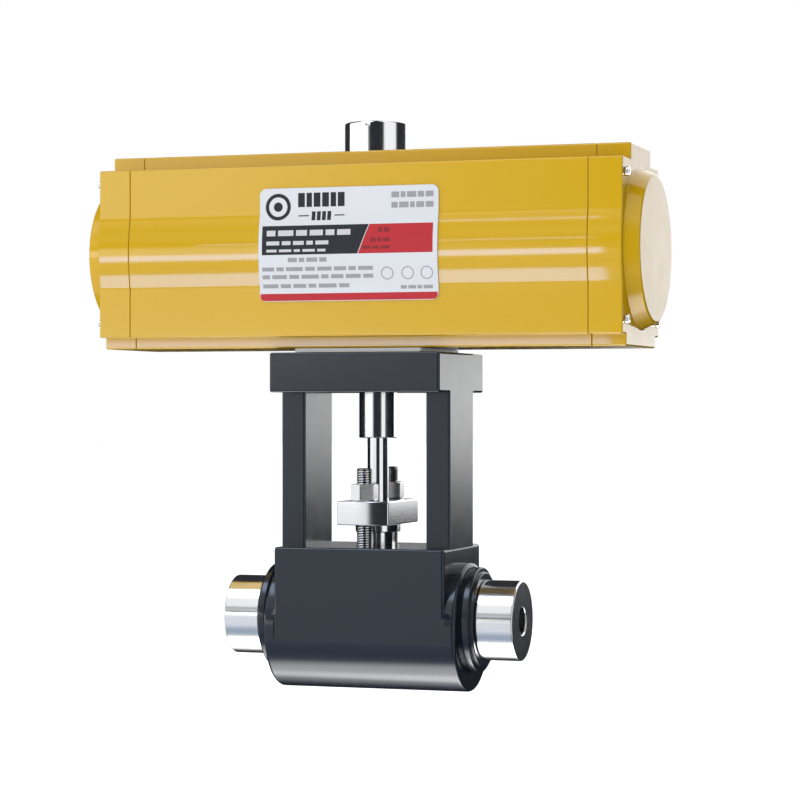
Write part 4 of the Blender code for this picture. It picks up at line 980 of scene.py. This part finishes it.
def make_world():
    """White to the camera, even to matt surfaces, and a studio of panels to glossy ones."""
    world = bpy.data.worlds.new("studio")
    bpy.context.scene.world = world
    world.use_nodes = True
    world.cycles.sampling_method = "NONE"
    tree = world.node_tree
    tree.nodes.clear()
    azimuth, elevation = direction_parts(tree)
    glossy = None
    for across, up, scale in STUDIO:
        panel = product(tree, profile_of(tree, azimuth, -180, 180, across),
                        scaled(tree, profile_of(tree, elevation, -90, 90, up), scale))
        glossy = total(tree, glossy, panel) if glossy else panel
    glossy = total(tree, glossy, GLOSSY_FLOOR)
    path = node(tree, "ShaderNodeLightPath")
    soft = scaled(tree, profile_of(tree, azimuth, -180, 180, SOFT_LIGHT), SOFT_SCALE)
    seen = blended(tree, path.outputs["Is Glossy Ray"], soft, glossy)
    shown = blended(tree, path.outputs["Is Camera Ray"], seen, (1.0, 1.0, 1.0, 1.0))
    background = node(tree, "ShaderNodeBackground", {"Color": shown, "Strength": 1.0})
    output = node(tree, "ShaderNodeOutputWorld")
    tree.links.new(background.outputs["Background"], output.inputs["Surface"])


def make_floor():
    """A plain pale floor, far enough below to stay free of the object's shadow."""
    bm = bmesh.new()
    reach = 30.0
    bm.faces.new([bm.verts.new((x, y, FLOOR_Z))
                  for x, y in ((-reach, -reach), (reach, -reach), (reach, reach), (-reach, reach))])
    floor = make("studio_floor", bm)
    material = surface("pale_floor", (0.9, 0.9, 0.9), 0.9, variation=0.01, mottle=2.0)
    shader = next(n for n in material.node_tree.nodes if n.type == "BSDF_PRINCIPLED")
    shader.inputs["Emission Color"].default_value = (1, 1, 1, 1)
    shader.inputs["Emission Strength"].default_value = 0.6
    floor.data.materials.append(material)
    floor.visible_glossy = False
    floor.visible_diffuse = False


def make_camera():
    data = bpy.data.cameras.new("camera")
    data.lens = CAMERA_LENS
    data.sensor_width = 36.0
    camera = bpy.data.objects.new("camera", data)
    camera.location = CAMERA_PLACE
    aim = Vector(CAMERA_TARGET) - Vector(CAMERA_PLACE)
    camera.rotation_euler = aim.to_track_quat("-Z", "Y").to_euler()
    bpy.context.scene.collection.objects.link(camera)
    bpy.context.scene.camera = camera


def strip_light(name, x, z, radiance, colour, receivers):
    """A long flat lamp close in front of the actuator, seen only as a reflection."""
    y = -FACE_DEPTH - STRIP_DISTANCE
    width, height = x[1] - x[0], z[1] - z[0]
    data = bpy.data.lights.new(name, "AREA")
    data.shape = "RECTANGLE"
    data.size, data.size_y = width, height
    data.energy = radiance * pi * width * height
    data.color = colour
    lamp = bpy.data.objects.new(name, data)
    lamp.location = ((x[0] + x[1]) / 2, y, (z[0] + z[1]) / 2)
    lamp.rotation_euler = (pi / 2, 0, 0)
    lamp.visible_camera = False
    lamp.visible_diffuse = False
    lamp.light_linking.receiver_collection = receivers
    bpy.context.scene.collection.objects.link(lamp)


def make_strips(pieces):
    """Highlights of the housing's face, from strip lamps that only light the actuator."""
    receivers = bpy.data.collections.new("strip_receivers")
    for piece in pieces:
        receivers.objects.link(piece)
    cool, warm = (0.36, 0.54, 1.0), (1.0, 0.60, 0.08)
    ends = (-0.42, 0.136)
    strip_light("strip_rail", ends, (0.4000, 0.4400), 3.2, warm, receivers)
    strip_light("strip_upper", (-0.10, 0.130), (0.3705, 0.3750), 9.0, cool, receivers)
    strip_light("strip_middle", (-0.20, 0.130), (0.3010, 0.3037), 9.0, cool, receivers)
    strip_light("strip_axis", ends, (0.2505, 0.2690), 10.5, cool, receivers)
    strip_light("strip_lower", ends, (0.1540, 0.2040), 8.0, cool, receivers)


# ---------------------------------------------------------------- scene

scene = bpy.context.scene
scene.view_settings.view_transform = "Standard"
make_camera()
make_floor()
make_world()
paint_frame()

painted = [make_housing()]
for side, sign in (("left", -1), ("right", 1)):
    painted.append(make_end_cap(side, sign))
    make_stub(side, sign)
for name in frame["nodes"]:
    if name.startswith("end_cap_screw"):
        make_cap_screw(name)
make_strips(painted)
make_nameplate()
make_pinion_shaft()
make_stop_screws()
make_valve_body()
make_gland()
make_coupling()
